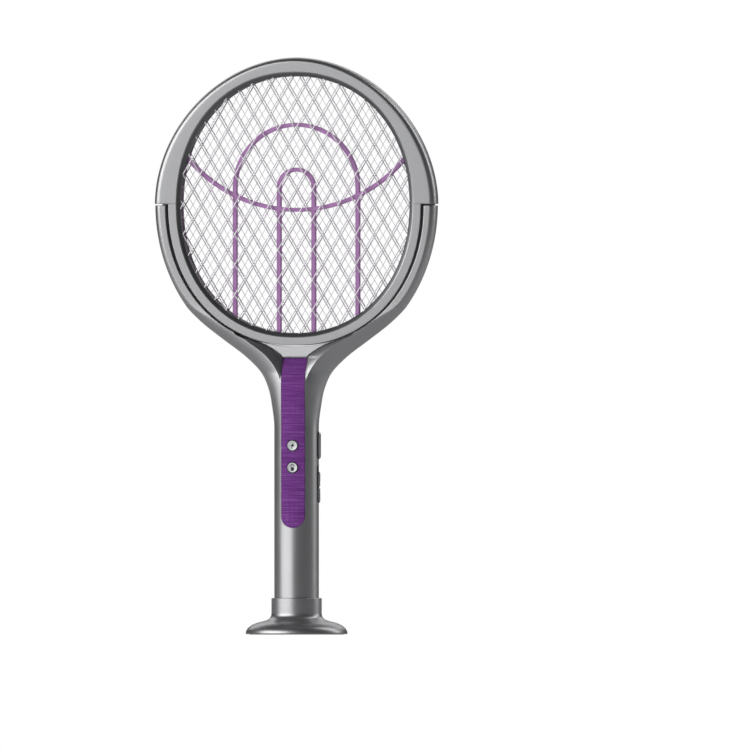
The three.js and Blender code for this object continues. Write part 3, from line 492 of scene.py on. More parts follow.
def bezel(name, side):
    """Half of the head housing: lower ring and wide upper band with level shoulders."""
    edge = 0.45
    sections = []
    insets = [(edge * (1 - math.cos(a)), edge * (1 - math.sin(a))) for a in spread(0, math.pi / 2, 4)]
    for lift, inset in insets:
        sections.append(head_section(crescent_outside(inset), side, height=SEAM + lift))
    for angle in spread(0.02, math.pi - 0.02, 200):
        sections.append(head_section(crescent_outside(0), side, angle))
    for lift, inset in reversed(insets):
        sections.append(head_section(crescent_outside(inset), side, height=SEAM + lift, left=True))
    sections.append(head_section(band_outside(), side, height=SEAM, left=True))
    for angle in spread(math.pi + 0.01, 2 * math.pi - 0.01, 180):
        sections.append(head_section(band_outside(), side, angle))
    sections.append(head_section(band_outside(), side, height=SEAM))
    points = [point for section in sections for point in section]
    faces = grid_faces(len(sections), len(sections[0]), wrap_rows=True, wrap_columns=True)
    piece = mesh_from(name, points, faces, PAINT)
    # The inner lip's faces take the darker lip material, painted shade inside the ring.
    piece.data.materials.append(LIP_SHADE)
    for polygon in piece.data.polygons:
        x, y, z = polygon.center / MM
        inside = abs(x / (OVAL_X - 0.4)) ** OVAL_FULL + abs((z - HEAD_Z) / (OVAL_Z - 0.4)) ** OVAL_FULL < 1
        polygon.material_index = 1 if inside and CORE_HALF < abs(y) < HALF_DEPTH - 0.5 else 0
    return piece


def head_screw_place(angle):
    """Where the head screw at that oval angle stands, as (x, z)."""
    return oval(OVAL_X + HEAD_SCREW_IN, OVAL_Z + HEAD_SCREW_IN, angle)


def rod(name, radius, span, centre, axis, material, count=48):
    """A plain round bar over a span of the axis line through centre."""
    return turned(name, [(radius, span[0]), (radius, span[1])], centre, axis, material, count)


def both_sides(span):
    """A span of x on the right side and its mirror on the left."""
    return [span, (-span[1], -span[0])]


def rear_details(piece):
    """Hinge knuckles and screw wells on the back of the head."""
    centre = (0, HINGE_Y, HEAD_Z)
    for span in both_sides((ARM_KNUCKLE[0] - 0.25, 140)):
        boolean(piece, rod("pocket", KNUCKLE_R + 0.4, span, centre, "x", PAINT), "DIFFERENCE")
    for span in both_sides(HEAD_KNUCKLE):
        boolean(piece, knuckle("knuckle", span), "UNION")
    for span in both_sides((HEAD_KNUCKLE[0] + 1.2, 140)):
        boolean(piece, rod("pin_hole", PIN_R + 0.2, span, centre, "x", PAINT), "DIFFERENCE")
    for angle in HEAD_SCREWS:
        x, z = head_screw_place(angle)
        well = rod("well", SCREW_HEAD_R + 0.25, (HALF_DEPTH - 2.2, 30), (x, 0, z), "y", PAINT, 32)
        boolean(piece, well, "DIFFERENCE")


def knuckle(name, span):
    """Hinge knuckle with softened ends."""
    low, high = span
    soft = 0.4
    profile = [(KNUCKLE_R - soft, low), (KNUCKLE_R - 0.1, low + 0.1), (KNUCKLE_R, low + soft),
               (KNUCKLE_R, high - soft), (KNUCKLE_R - 0.1, high - 0.1), (KNUCKLE_R - soft, high)]
    return turned(name, profile, (0, HINGE_Y, HEAD_Z), "x", PAINT, 48)


def screw(name, x, z, head_y, tip_y):
    """Pan screw with a cross recess."""
    low = head_y - SCREW_HEAD_DEEP
    profile = [(SCREW_R, tip_y), (SCREW_R, low), (SCREW_HEAD_R, low + 0.1), (SCREW_HEAD_R, head_y - 0.35),
               (SCREW_HEAD_R - 0.12, head_y - 0.12), (SCREW_HEAD_R - 0.4, head_y)]
    piece = turned(name, profile, (x, 0, z), "y", STEEL, 40)
    for wide, high in ((1.15, 0.28), (0.28, 1.15)):
        outline = [(x - wide, z - high), (x + wide, z - high), (x + wide, z + high), (x - wide, z + high)]
        boolean(piece, prism("cross", outline, "y", head_y - 0.8, head_y + 1, STEEL), "DIFFERENCE")
    return smooth(piece)


# ---- Grids and ribs -------------------------------------------------------------------------
def tubes(name, lines, radius, material, sides=8):
    """Round wires between point pairs, joined in one mesh."""
    points, faces = [], []
    for start, end in lines:
        start, end = Vector(start), Vector(end)
        along = (end - start).normalized()
        across = along.cross(Vector((0, 1, 0))).normalized()
        up = across.cross(along)
        first = len(points)
        for base in (start, end):
            for k in range(sides):
                a = 2 * math.pi * k / sides
                points.append(tuple(base + across * (radius * math.cos(a)) + up * (radius * math.sin(a))))
        faces += capped_faces(2, sides, first)
    piece = mesh_from(name, points, faces, material)
    return smooth(piece, 50)


def grid_lines(offset, shift, layers):
    """Crossed wires of the diamond grid, clipped to the oval at that offset."""
    half_x, half_z = OVAL_X + offset, OVAL_Z + offset
    run = CELL_X / 2
    reach, per_cell, shortest = 12, 200, 20
    tries = [k / per_cell for k in range(-reach * per_cell, reach * per_cell)]
    lines = []
    for rise, y in zip((CELL_Z / 2, -CELL_Z / 2), layers):
        for m in range(-17, 18, 2):
            middle = (m + shift) * run
            inside = [t for t in tries if abs((middle + run * t) / half_x) ** OVAL_FULL
                      + abs(rise * t / half_z) ** OVAL_FULL < 1]
            if len(inside) > shortest:
                lines.append([(middle + run * t, y, HEAD_Z + rise * t) for t in (inside[0], inside[-1])])
    return lines


def band_strip(name, path, low, high, closed=False):
    """A flat rib with softened edges along a path of (x, z) points."""
    half = RIB_WIDE / 2
    soft = 0.35
    section = [(half, low + soft), (half, high - soft), (half - soft, high), (-half + soft, high),
               (-half, high - soft), (-half, low + soft), (-half + soft, low), (half - soft, low)]
    points = []
    count = len(path)
    for i, (x, z) in enumerate(path):
        before = path[i - 1] if closed or i else path[0]
        after = path[(i + 1) % count] if closed or i < count - 1 else path[-1]
        along = Vector((after[0] - before[0], after[1] - before[1])).normalized()
        for across, y in section:
            points.append((x - along.y * across, y, z + along.x * across))
    if closed:
        faces = grid_faces(count, len(section), wrap_rows=True, wrap_columns=True)
    else:
        faces = capped_faces(count, len(section))
    return mesh_from(name, points, faces, VIOLET)


def arch_path(radius, foot):
    """An upright arch of that radius whose legs end at height foot."""
    crown = HEAD_Z + ARCH_RISE
    right = [(radius, z) for z in spread(foot, crown, 24)[:-1]]
    left = [(-x, z) for x, z in reversed(right)]
    return right + arc_corner((0, crown), radius, 0, 180, 64) + left


def ribs(name, low, high):
    """Arches, cross arc and rim that keep the grids apart."""
    tilt = math.asin(CROSS_REACH / CROSS_R)
    centre = HEAD_Z + CROSS_RISE
    cross = [(CROSS_R * math.sin(a), centre - CROSS_R * math.cos(a)) for a in spread(-tilt, tilt, 80)]
    rim = [oval(OVAL_X - RIM_INSET, OVAL_Z - RIM_INSET, 2 * math.pi * k / 160) for k in range(160)]
    piece = band_strip(name, arch_path(OUTER_ARCH, HEAD_Z - OUTER_DROP), low, high)
    for path, closed in ((arch_path(INNER_ARCH, HEAD_Z - INNER_DROP), False), (cross, False), (rim, True)):
        boolean(piece, band_strip("rib", path, low, high, closed), "UNION")
    return smooth(piece)


# ---- Handle and fork ------------------------------------------------------------------------
def outer_half(z):
    """Half width of handle and fork at height z."""
    if z < ARM_JOIN_Z:
        return curve_at(OUT_CURVE, z)
    return ARM_OUT_X * math.sqrt(1 - ((z - HEAD_Z) / ARM_OUT_Z) ** 2)


def round_width(z):
    """How much of the half width is rounded off towards the side."""
    return min(curve_at(SOFT_CURVE, z), outer_half(z))


def depth_at(x, z, inset=0.0):
    """Distance of the skin from the middle plane, at x and height z."""
    side = round_width(z)
    past = max(0.0, abs(x) - (outer_half(z) - side)) / (side - inset)
    return (curve_at(DEPTH_CURVE, z) - inset) * math.sqrt(max(0.0, 1 - past * past))


def sink_at(z):
    """How far the valley floor lies behind the front surface."""
    full = curve_at(DEPTH_CURVE, STRIP_TOP) - VALLEY_FLOOR
    t = max(0.0, (z - VALLEY_Z) / (STRIP_TOP - VALLEY_Z))
    return curve_at(DEPTH_CURVE, z) - VALLEY_FLOOR if z > STRIP_TOP else full * t ** VALLEY_EASE


def room_x(z, extra=0.0, half_z=ARM_IN_Z):
    """Inner wall of the arms at height z, an oval that clears the head."""
    rise = abs(z - HEAD_Z) / (half_z + extra)
    return (ARM_IN_X + extra) * max(0.0, 1 - rise ** OVAL_FULL) ** (1 / OVAL_FULL)


def room_z(x, extra=0.0, half_z=ARM_IN_Z):
    """Height of that oval's lower side at x."""
    share = min(1.0, abs(x) / (ARM_IN_X + extra))
    return HEAD_Z - (half_z + extra) * (1 - share ** OVAL_FULL) ** (1 / OVAL_FULL)


def edge_at(z, inset=0.0):
    """Inner edge of the arm's front at height z."""
    if z > MEET_Z:
        return room_x(z, inset)
    share = min(1.0, max(0.0, (z - VALLEY_Z) / 12))
    return curve_at(EDGE_CURVE, z) + share * (room_x(MEET_Z, inset) - room_x(MEET_Z))


def floor_depth(x, z, rear, inset=0.0):
    """Depth of handle front and valley floor; the valley's walls rise from its foot to the arms."""
    depth = depth_at(min(abs(x), STRIP_HALF + 1), z, inset) - sink_at(z)
    if rear:
        return max(REAR_FLOOR - inset, depth)
    foot = curve_at(FOOT_CURVE, z)
    edge = edge_at(z, inset)
    if abs(x) > foot and z > VALLEY_Z:
        rise = min(1.0, (abs(x) - foot) / max(edge - foot, 0.1)) ** WALL_EASE
        crest = depth_at(edge, z, inset) - min(0.5, sink_at(z) / 2)
        depth += (max(crest, depth) - depth) * rise
    return max(SPLIT, depth)


def side_profile(z, inset, bottom):
    """Arm section from the foot of its inner wall over the soft edge to the silhouette."""
    edge = edge_at(z, inset)
    flat = outer_half(z) - round_width(z)
    side = round_width(z) - inset
    soft = max(0.0, min(EDGE_SOFT, (depth_at(edge + EDGE_SOFT, z, inset) - bottom) * 0.8))
    lift = depth_at(edge + soft, z, inset)
    slope = math.atan2(lift - depth_at(edge + soft + 0.2, z, inset), 0.2)
    corner = [(edge + soft - soft * math.cos(a), lift - soft + soft * math.sin(a))
              for a in spread(0, math.pi / 2 - min(slope, 1.2), EDGE_STEPS)]
    start = corner[-1][0]
    line = [(x, depth_at(x, z, inset)) for x in spread(start, max(flat, start), 6)]
    first = math.asin(min(1.0, max(0.0, start - flat) / side))
    for a in spread(first, math.pi / 2, 60)[1:]:
        line.append((flat + side * math.sin(a), max(SPLIT, (curve_at(DEPTH_CURVE, z) - inset) * math.cos(a))))
    line[0] = corner[-1]
    return [(edge, bottom)] + corner + resampled(line, SIDE_COUNT)[1:]


def resampled(line, count):
    """count + 1 points at even distances along a line."""
    lengths = [0.0]
    for a, b in zip(line, line[1:]):
        lengths.append(lengths[-1] + math.dist(a, b))
    result = []
    k = 0
    for target in spread(0, lengths[-1], count):
        while k < len(line) - 2 and lengths[k + 1] < target:
            k += 1
        span = lengths[k + 1] - lengths[k]
        t = min(1.0, (target - lengths[k]) / span) if span else 0.0
        result.append(tuple(p + t * (q - p) for p, q in zip(line[k], line[k + 1])))
    return result


LOW_ROWS = spread(SHELL_Z, 180, 30) + spread(180, VALLEY_Z, 16)[1:] + spread(VALLEY_Z, MEET_Z, 44)[1:]
TIP_Z = HEAD_Z - SEAM
TIP_SOFT = 0.5
ARM_ROWS = spread(MEET_Z, TIP_Z - TIP_SOFT, 60)


def skin_half(rear, inset):
    """Points and faces of one half skin: floor patch, side patch, wall below the head, arm and tip."""
    points, faces = [], []
    end = edge_at(MEET_Z, inset)
    arch = room_z(end, inset) - room_z(0, inset)
    for z in LOW_ROWS:
        t = max(0.0, (z - VALLEY_Z) / (MEET_Z - VALLEY_Z))
        middle = z + t * (room_z(0, inset) - MEET_Z)
        edge = edge_at(z, inset)
        for share in spread(0, 1, FLOOR_COLUMNS):
            row_z = middle + (z - middle) / arch * (room_z(end * share, inset) - room_z(0, inset))
            row_z = z if share == 1 else row_z
            points.append((edge * share, floor_depth(edge * share, row_z, rear, inset), row_z))
    faces += grid_faces(len(LOW_ROWS), FLOOR_COLUMNS + 1)
    top = points[-FLOOR_COLUMNS - 1:]
    first = len(points)
    for share in spread(0, 1, 5):
        drop = [share * (1 - (x / end) ** 4) * (room_z(x, inset, ARM_BACK_Z) - room_z(x, inset))
                for x, _, _ in top]
        points += [(x, depth + share * (SPLIT - depth), z + fall) for (x, depth, z), fall in zip(top, drop)]
    faces += grid_faces(6, FLOOR_COLUMNS + 1, first)
    first = len(points)
    for z in LOW_ROWS:
        foot = floor_depth(edge_at(z, inset), z, rear, inset)
        points += [(x, depth, z) for x, depth in side_profile(z, inset, foot)]
    width = EDGE_STEPS + SIDE_COUNT + 2
    faces += grid_faces(len(LOW_ROWS), width, first)
    first = len(points)
    foot = floor_depth(end, MEET_Z, rear, inset)
    scale = 1.0 if not inset else (TIP_Z - 8.4 - MEET_Z) / (TIP_Z - MEET_Z)
    rows = [(z, 0.0) for z in ARM_ROWS]
    for a in spread(0, math.pi / 2, 4)[1:]:
        rows.append((TIP_Z - TIP_SOFT + TIP_SOFT * math.sin(a), TIP_SOFT * (1 - math.cos(a))))
    for z, tip in rows:
        level = MEET_Z + (z - MEET_Z) * scale
        base = min(foot, depth_at(edge_at(level, inset), level, inset) - 0.5)
        profile = side_profile(level, inset + tip, base)
        back = min(1.0, (level - MEET_Z) / 8) * (room_x(level, inset, ARM_BACK_Z) - room_x(level, inset))
        wall = [(profile[0][0] + back * (1 - share), SPLIT + (base - SPLIT) * share)
                for share in spread(0, 1, 5)[:-1]]
        points += [(x, depth, level) for x, depth in wall + profile]
    width += 5
    faces += grid_faces(len(rows), width, first)
    faces.append(tuple(range(first + (len(rows) - 1) * width, first + len(rows) * width)))
    return points, faces


def welded(points, faces):
    """The faces with doubled points made one; faces that close up are left out."""
    kept = {}
    index = []
    for i, point in enumerate(points):
        key = tuple(round(value * 500) for value in point)
        index.append(kept.setdefault(key, i))
    clean = []
    for face in faces:
        loop = []
        for i in (index[k] for k in face):
            if not loop or (i != loop[-1] and i != loop[0]):
                loop.append(i)
        if len(loop) > 2:
            clean.append(tuple(loop))
    return clean


def shell(name, rear):
    """Hollow half of handle and fork: outer skin, inner skin and the rim between them."""
    sign = 1 if rear else -1
    outer, faces = skin_half(rear, 0.0)
    inner, _ = skin_half(rear, WALL)
    count = len(outer)
    outer += flipped(outer)
    inner += flipped(inner)
    faces += [tuple(count + i for i in reversed(face)) for face in faces]
    faces = welded(outer, faces)
    uses = {}
    for face in faces:
        for a, b in zip(face, face[1:] + face[:1]):
            uses.setdefault(frozenset((a, b)), []).append((a, b))
    total = len(outer)
    rim = [(b, a, a + total, b + total) for pairs in uses.values() if len(pairs) == 1 for a, b in pairs]
    backs = [tuple(total + i for i in reversed(face)) for face in faces]
    points = [(x, sign * depth, z) for x, depth, z in outer + inner]
    return mesh_from(name, points, faces + backs + rim, PAINT, weld=0.0)


# ---- Inlay ----------------------------------------------------------------------------------
def strip_rows(half):
    """Heights and half widths of the inlay's outline, from its round lower end to its top edge."""
    rows = [(STRIP_BEND - half * math.cos(a), half * math.sin(a)) for a in spread(0, math.pi / 2, 16)]
    rows += [(z, half) for z in spread(STRIP_BEND, VALLEY_Z - 6, 44)[1:]]
    rows += [(z, half) for z in spread(VALLEY_Z - 6, STRIP_TOP + half - STRIP_HALF, 26)[1:]]
    return rows


def strip_slab(name, margin, over, under, soft, material):
    """A layer along the inlay's outline, from over the front surface to under it."""
    columns = 20
    rows = strip_rows(STRIP_HALF + margin)
    rings = [(0.0, -under)]
    rings += [(soft * (1 - math.sin(a)), over - soft + soft * math.cos(a))
              for a in spread(math.pi / 2, 0, 4)] if soft else [(0.0, over)]
    layers = []
    for inset, height in rings:
        layer = []
        for z, wide in rows:
            level = min(max(z, rows[0][0] + inset), rows[-1][0] - inset)
            reach = max(0.0, wide - inset)
            for share in spread(-1, 1, columns):
                x = reach * share
                layer.append((x, -floor_depth(x, level, False) - height, level))
        layers.append(layer)
    count = len(rows)
    width = columns + 1
    border = (list(range(width)) + [i * width + columns for i in range(1, count)]
              + [(count - 1) * width + j for j in range(columns - 1, -1, -1)]
              + [i * width for i in range(count - 2, 0, -1)])
    points = list(layers[0]) + [layer[k] for layer in layers[1:-1] for k in border]
    base = len(points)
    points += layers[-1]
    faces = grid_faces(count, width) + grid_faces(count, width, base)
    loops = [border] + [list(range(start, start + len(border)))
                        for start in range(len(layers[0]), base, len(border))]
    loops.append([base + k for k in border])
    for low, high in zip(loops, loops[1:]):
        faces += [(a, b, d, c) for a, b, c, d in zip(low, low[1:] + low[:1], high, high[1:] + high[:1])]
    return mesh_from(name, points, faces, material, weld=0.002)


# ---- Controls -------------------------------------------------------------------------------
def oblong_slab(name, half, z, layers, material):
    """Oblong piece on the handle's right side: layers of (x, inset)."""
    points = []
    for x, inset in layers:
        outline = oblong((half[0] - inset, half[1] - inset), z)
        points += [(x, y, level) for y, level in outline]
    return mesh_from(name, points, capped_faces(len(layers), len(points) // len(layers)), material)


def soft_top(x, reach, depth):
    """Layers that round off the outer edge of a side control."""
    return [(x - depth * (1 - math.sin(a)), reach * (1 - math.cos(a))) for a in spread(0, math.pi / 2, 6)]


def round_button(name, z):
    """Round cap with a bright rolled rim round a slightly sunk face."""
    radius = BUTTON_R - 0.15
    roll = 0.35
    stem_r, flange_r = 1.6, 5.3
    profile = [(0.0, -14.1), (stem_r, -14.1), (stem_r, -15.2), (flange_r, -15.2), (flange_r, -16.0),
               (radius, -16.0)]
    profile += arc_corner((radius - roll, -19.62), roll, 0, -90, 6)
    profile += [(3.7, -19.96), (3.45, -19.86), (0.0, -19.82)]
    return smooth(turned(name, profile, (0, 0, z), "y", BUTTON, 72))


def symbol(name, outline, z):
    """Thin printed mark on a button's face."""
    points = [(x, z + up) for x, up in outline]
    return prism(name, points, "y", -19.9, -19.75, INK)


BOLT = [(1.35, 3.0), (-1.9, -0.75), (-0.5, -0.75), (-1.35, -3.0), (1.9, 0.75), (0.5, 0.75)]


def lamp_marks(z):
    """Outline of a lamp: an arc over a dark base."""
    arc = [(1.7 * math.cos(a), 1.2 + 1.7 * math.sin(a)) for a in spread(-0.4, math.pi + 0.4, 24)]
    arc += [(1.0 * math.cos(a), 1.2 + 1.0 * math.sin(a)) for a in spread(math.pi + 0.4, -0.4, 24)]
    base = [(-1.35, -2.8), (1.35, -2.8), (1.35, 0.3), (-1.35, 0.3)]
    return [symbol("lamp_arc", arc, z), symbol("lamp_base", base, z)]


# ---- Stand ----------------------------------------------------------------------------------
def bezier(a, b, c, d, steps):
    """Points of a smooth curve from a to d that b and c pull on."""
    points = []
    for t in spread(0, 1, steps):
        s = 1 - t
        points.append(tuple(s ** 3 * a[i] + 3 * s * s * t * b[i] + 3 * s * t * t * c[i] + t ** 3 * d[i]
                            for i in range(2)))
    return points


# ---- Put the object together ----------------------------------------------------------------
def place(piece, body, slot, *nodes):
    """Ties a piece to its body and hides the CAD nodes that it stands for; slot is not used."""
    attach(piece, body)
    if nodes:
        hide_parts(*nodes)
    return piece


def build_stand():
    """Flared shell with its socket collar, ballast ring and rubber sole."""
    hip = (31, 11.1)
    fillet = bezier((COLLAR_R, 18.7), (COLLAR_R, 13.5), (25.5, 12.6), hip, 18)
    skirt = bezier(hip, (35.6, 10.4), (STAND_R, 7.0), (STAND_R, 1.0), 18)[1:]
    lip = [(STAND_R - 0.1, 0.65), (STAND_R - 0.35, 0.4), (STAND_R - 0.8, STAND_LOW),
           (SOLE_ROOM[0], STAND_LOW)]
    collar_in = arc_corner((SOCKET_R + 0.6, COLLAR_TOP - 0.6), 0.6, 180, 90, 5)
    collar_out = arc_corner((COLLAR_R - 0.7, COLLAR_TOP - 0.7), 0.7, 90, 0, 6)
    under = [SOLE_ROOM, (BALLAST_OUT, SOLE_ROOM[1]), (BALLAST_OUT, BALLAST_TOP), (BALLAST_IN, BALLAST_TOP),
             (BALLAST_IN, SOLE_ROOM[1]), (0.0, SOLE_ROOM[1])]
    profile = [(0.0, SOCKET_FLOOR), (SOCKET_R, SOCKET_FLOOR)] + collar_in + collar_out
    profile += fillet + skirt + lip + under
    place(smooth(turned("stand_cover", profile, (0, 0, 0), "z", PAINT, 160), 40),
          "stand", "body_grey", "stand_shell")

    low, high = BALLAST_IN + 0.3, BALLAST_OUT - 0.3
    ring = [(low, 2.2), (high - 0.3, 2.2), (high, 2.5), (high, 5.7), (high - 0.3, 6.0), (low + 0.3, 6.0),
            (low, 5.7)]
    points = [(r * math.cos(a), r * math.sin(a), z) for r, z in ring
              for a in (2 * math.pi * k / 96 for k in range(96))]
    faces = grid_faces(len(ring), 96, wrap_rows=True, wrap_columns=True)
    place(smooth(mesh_from("ballast_ring", points, faces, IRON)), "stand", "weight_steel", "stand_weight")

    sole = [(0.0, 1.6), (41.2, 1.6), (41.2, 0.5), (41.0, 0.15), (40.6, 0.0)]
    for outside in (39.0, 30.0):
        sole += [(outside, 0.0), (outside - 0.4, 0.35), (outside - 1.6, 0.35), (outside - 2.0, 0.0)]
    sole.append((0.0, 0.0))
    place(smooth(turned("rubber_sole", sole, (0, 0, 0), "z", RUBBER, 128)), "stand", "sole_rubber",
          "stand_sole")


def side_openings(piece):
    """Cuts the openings of both side controls, shared by the two shells; their walls take black, painted
    shade in the openings.
    """
    trigger = tuple(value + SIDE_GAP + 0.3 for value in TRIGGER_HALF)
    slot_half = (SLIDER_HALF[0] + SIDE_GAP, (SLOT_HIGH - SLOT_LOW) / 2)
    for half, z in ((trigger, BUTTON_Z["zap_button"]), (slot_half, (SLOT_LOW + SLOT_HIGH) / 2)):
        boolean(piece, oblong_slab("cut", half, z, THROUGH_SIDE, BLACK_AND_SHADE), "DIFFERENCE")


def web_plate(name):
    """Raised plate between inlay and head, leaning back a little, with softened edges."""
    soft = 0.5
    points = []
    heights = spread(WEB_LOW, WEB_HIGH, 24)
    for i, z in enumerate(heights):
        half = curve_at(FOOT_CURVE, z)
        lean = WEB_FRONT[0] + (WEB_FRONT[1] - WEB_FRONT[0]) * (z - WEB_LOW) / (WEB_HIGH - WEB_LOW)
        drop = soft if i == 0 else 0
        section = [(half, -4.5), (half, lean + soft), (half - 0.15, lean + 0.15), (half - soft, lean)]
        section += [(-x, y) for x, y in reversed(section)]
        points += [(x, y + (drop if y < -5 else 0), z) for x, y in section]
    plate = mesh_from(name, points, capped_faces(len(heights), len(section)), PAINT)
    room = [oval(ARM_IN_X, ARM_IN_Z, 2 * math.pi * k / 240) for k in range(240)]
    return boolean(plate, prism("room", room, "y", -30, 30, PAINT), "DIFFERENCE")


def build_handle():
    """Front and rear shell, inlay, tail cap, hinge pins and shell screws."""
    front = shell("front_shell", False)
    boolean(front, web_plate("web"), "UNION")
    boolean(front, strip_slab("recess", 0.2, 8, RECESS, 0, PAINT), "DIFFERENCE")
    for z in BUTTON_Z.values():
        # The well walls take black from the cutter: painted shade in the button wells.
        well = rod("well", BUTTON_R + 0.6, THROUGH_FRONT, (0, 0, z), "y", BLACK_AND_SHADE, 64)
        boolean(front, well, "DIFFERENCE")
    side_openings(front)
    place(smooth(front), "handle", "body_grey", "handle_front_shell")

    rear = shell("rear_shell", True)
    side_openings(rear)
    for x, z, head_y, _ in SHELL_SCREWS:
        well = rod("well", SCREW_HEAD_R + 0.3, (head_y - 1.7, head_y + 9), (x, 0, z), "y", PAINT, 32)
        boolean(rear, well, "DIFFERENCE")
    mouth = [(-USB_HALF - 0.3, USB_LOW - 0.3), (USB_HALF + 0.3, USB_LOW - 0.3),
             (USB_HALF + 0.3, USB_HIGH + 0.3), (-USB_HALF - 0.3, USB_HIGH + 0.3)]
    boolean(rear, prism("mouth", mouth, "y", 14, 30, PAINT), "DIFFERENCE")
    for span in both_sides(ARM_KNUCKLE):
        boolean(rear, knuckle("knuckle", span), "UNION")
    for span in both_sides((ARM_KNUCKLE[0] - 1, ARM_KNUCKLE[1] + 1)):
        hole = rod("pin_hole", PIN_R + 0.1, span, (0, HINGE_Y, HEAD_Z), "x", PAINT)
        boolean(rear, hole, "DIFFERENCE")
    place(smooth(rear), "handle", "body_grey", "handle_rear_shell")

    inlay = strip_slab("linen_inlay", -0.1, 0.12, 0.6, 0.22, LINEN)
    for z in BUTTON_Z.values():
        well = rod("well", BUTTON_R + 0.7, THROUGH_FRONT, (0, 0, z), "y", LINEN, 64)
        boolean(inlay, well, "DIFFERENCE")
    smooth(inlay, 50)
    apply_modifiers(inlay)
    soften_sides(inlay, 0.65)
    place(inlay, "handle", "fabric_purple", "fabric_inlay")

    low, seam, top, spigot = 6.3, SHELL_Z - 0.3, 11.0, HANDLE_R - WALL - 0.5
    cap = [(0.0, low), (HANDLE_R - 0.8, low), (HANDLE_R - 0.3, low + 0.15), (HANDLE_R, low + 0.8),
           (HANDLE_R, seam), (spigot, seam), (spigot, top), (spigot - 2, top), (spigot - 2, seam),
           (0.0, seam)]
    place(smooth(turned("end_cap", cap, (0, 0, 0), "z", PAINT, 96)), "handle", "body_grey", "tail_cap")
    for side, span in zip(("right", "left"), both_sides((HEAD_KNUCKLE[0] + 1.6, ARM_KNUCKLE[1] - 0.3))):
        pin = rod("pin_" + side, PIN_R, span, (0, HINGE_Y, HEAD_Z), "x", STEEL)
        place(smooth(pin), "handle", "screw_steel", "hinge_pin_" + side)
    for i, (x, z, head_y, tip_y) in enumerate(SHELL_SCREWS):
        piece = screw(f"handle_screw_{i + 1}", x, z, head_y, tip_y)
        place(piece, "handle", "screw_steel", f"shell_screw_{i + 1}")


def build_controls():
    """Front buttons with their marks, side button and slide switch."""
    for node, body in (("zap_button", "zap_key"), ("mode_button", "mode_key")):
        z = BUTTON_Z[node]
        cap = round_button(node + "_cap", z)
        # The cap's flange and stem are painted black, as shade in the ring gap round the button.
        paint_gap_shade(cap, 1, 17.5)
        place(cap, body, "button_silver", node)
        marks = [symbol("bolt", BOLT, z)] if node == "zap_button" else lamp_marks(z)
        for mark in marks:
            place(mark, body, "black_plastic")
    z = BUTTON_Z["zap_button"]
    flange = tuple(value + FLANGE for value in TRIGGER_HALF)
    layers = [(16.0, 0)] + soft_top(TRIGGER_X, 1.6, 1.1)
    trigger = oblong_slab("trigger_cap", TRIGGER_HALF, z, layers, PAINT)
    boolean(trigger, oblong_slab("flange", flange, z, [(15.3, 0), (16.2, 0)], PAINT), "UNION")
    # The trigger's part inside the housing is painted black, as shade in the gap round it.
    paint_gap_shade(trigger, 0, 20.15)
    place(smooth(trigger), "trigger_key", "body_grey", "trigger_button")
    flange = tuple(value + FLANGE for value in SLIDER_HALF)
    layers = [(15.9, 0)] + soft_top(SLIDER_X, 0.5, 0.5)
    slider = oblong_slab("slider_knob", SLIDER_HALF, SLIDER_Z, layers, PAINT)
    boolean(slider, oblong_slab("flange", flange, SLIDER_Z, [(14.6, 0), (16.0, 0)], PAINT), "UNION")
    # The knob's part inside the housing is painted black, as shade in the slot round it.
    paint_gap_shade(slider, 0, 19.95)
    # The middle groove's walls are painted black, as shade in the deeper notch; the others keep the body
    # grey.
    grooves = [(0, 1.1, 0.9, BLACK_AND_SHADE)] + [(step, 0.4, 0.4, PAINT) for step in (-4.4, -2.9, 2.9, 4.4)]
    for step, half, deep, look in grooves:
        low, high = SLIDER_Z + step - half, SLIDER_Z + step + half
        groove = [(-9, low), (9, low), (9, high), (-9, high)]
        boolean(slider, prism("groove", groove, "x", SLIDER_X - deep, 30, look), "DIFFERENCE")
    place(smooth(slider), "power_key", "body_grey", "power_slider")


def build_head():
    """Both bezels, guards, live grid, ribs and head screws."""
    place(smooth(bezel("front_bezel_fine", -1)), "head", "body_grey", "front_bezel")
    rear = bezel("rear_bezel_fine", 1)
    rear_details(rear)
    place(smooth(rear), "head", "body_grey", "rear_bezel")
    for node, y in (("front_guard_mesh", -GUARD_Y), ("rear_guard_mesh", GUARD_Y)):
        layers = (y - GUARD_WIRE * 0.22, y + GUARD_WIRE * 0.22)
        wires = tubes(node + "_wires", grid_lines(-1.7, 0, layers), GUARD_WIRE / 2, WIRE, 10)
        place(wires, "head", "guard_wire", node)
    layers = (-LIVE_WIRE * 0.22, LIVE_WIRE * 0.22)
    live = tubes("live_grid_wires", grid_lines(1.4, 1, layers), LIVE_WIRE / 2, LIVE, 8)
    place(live, "head", "live_wire", "live_grid")
    place(ribs("front_ribs", -RIB_FAR, -RIB_NEAR), "head", "rib_violet", "front_spacer_ribs")
    place(ribs("rear_ribs", RIB_NEAR, RIB_FAR), "head", "rib_violet", "rear_spacer_ribs")
    for i, angle in enumerate(HEAD_SCREWS):
        x, z = head_screw_place(angle)
        piece = screw(f"rim_screw_{i + 1}", x, z, HALF_DEPTH - 0.3, -6)
        place(piece, "head", "screw_steel", f"head_screw_{i + 1}")


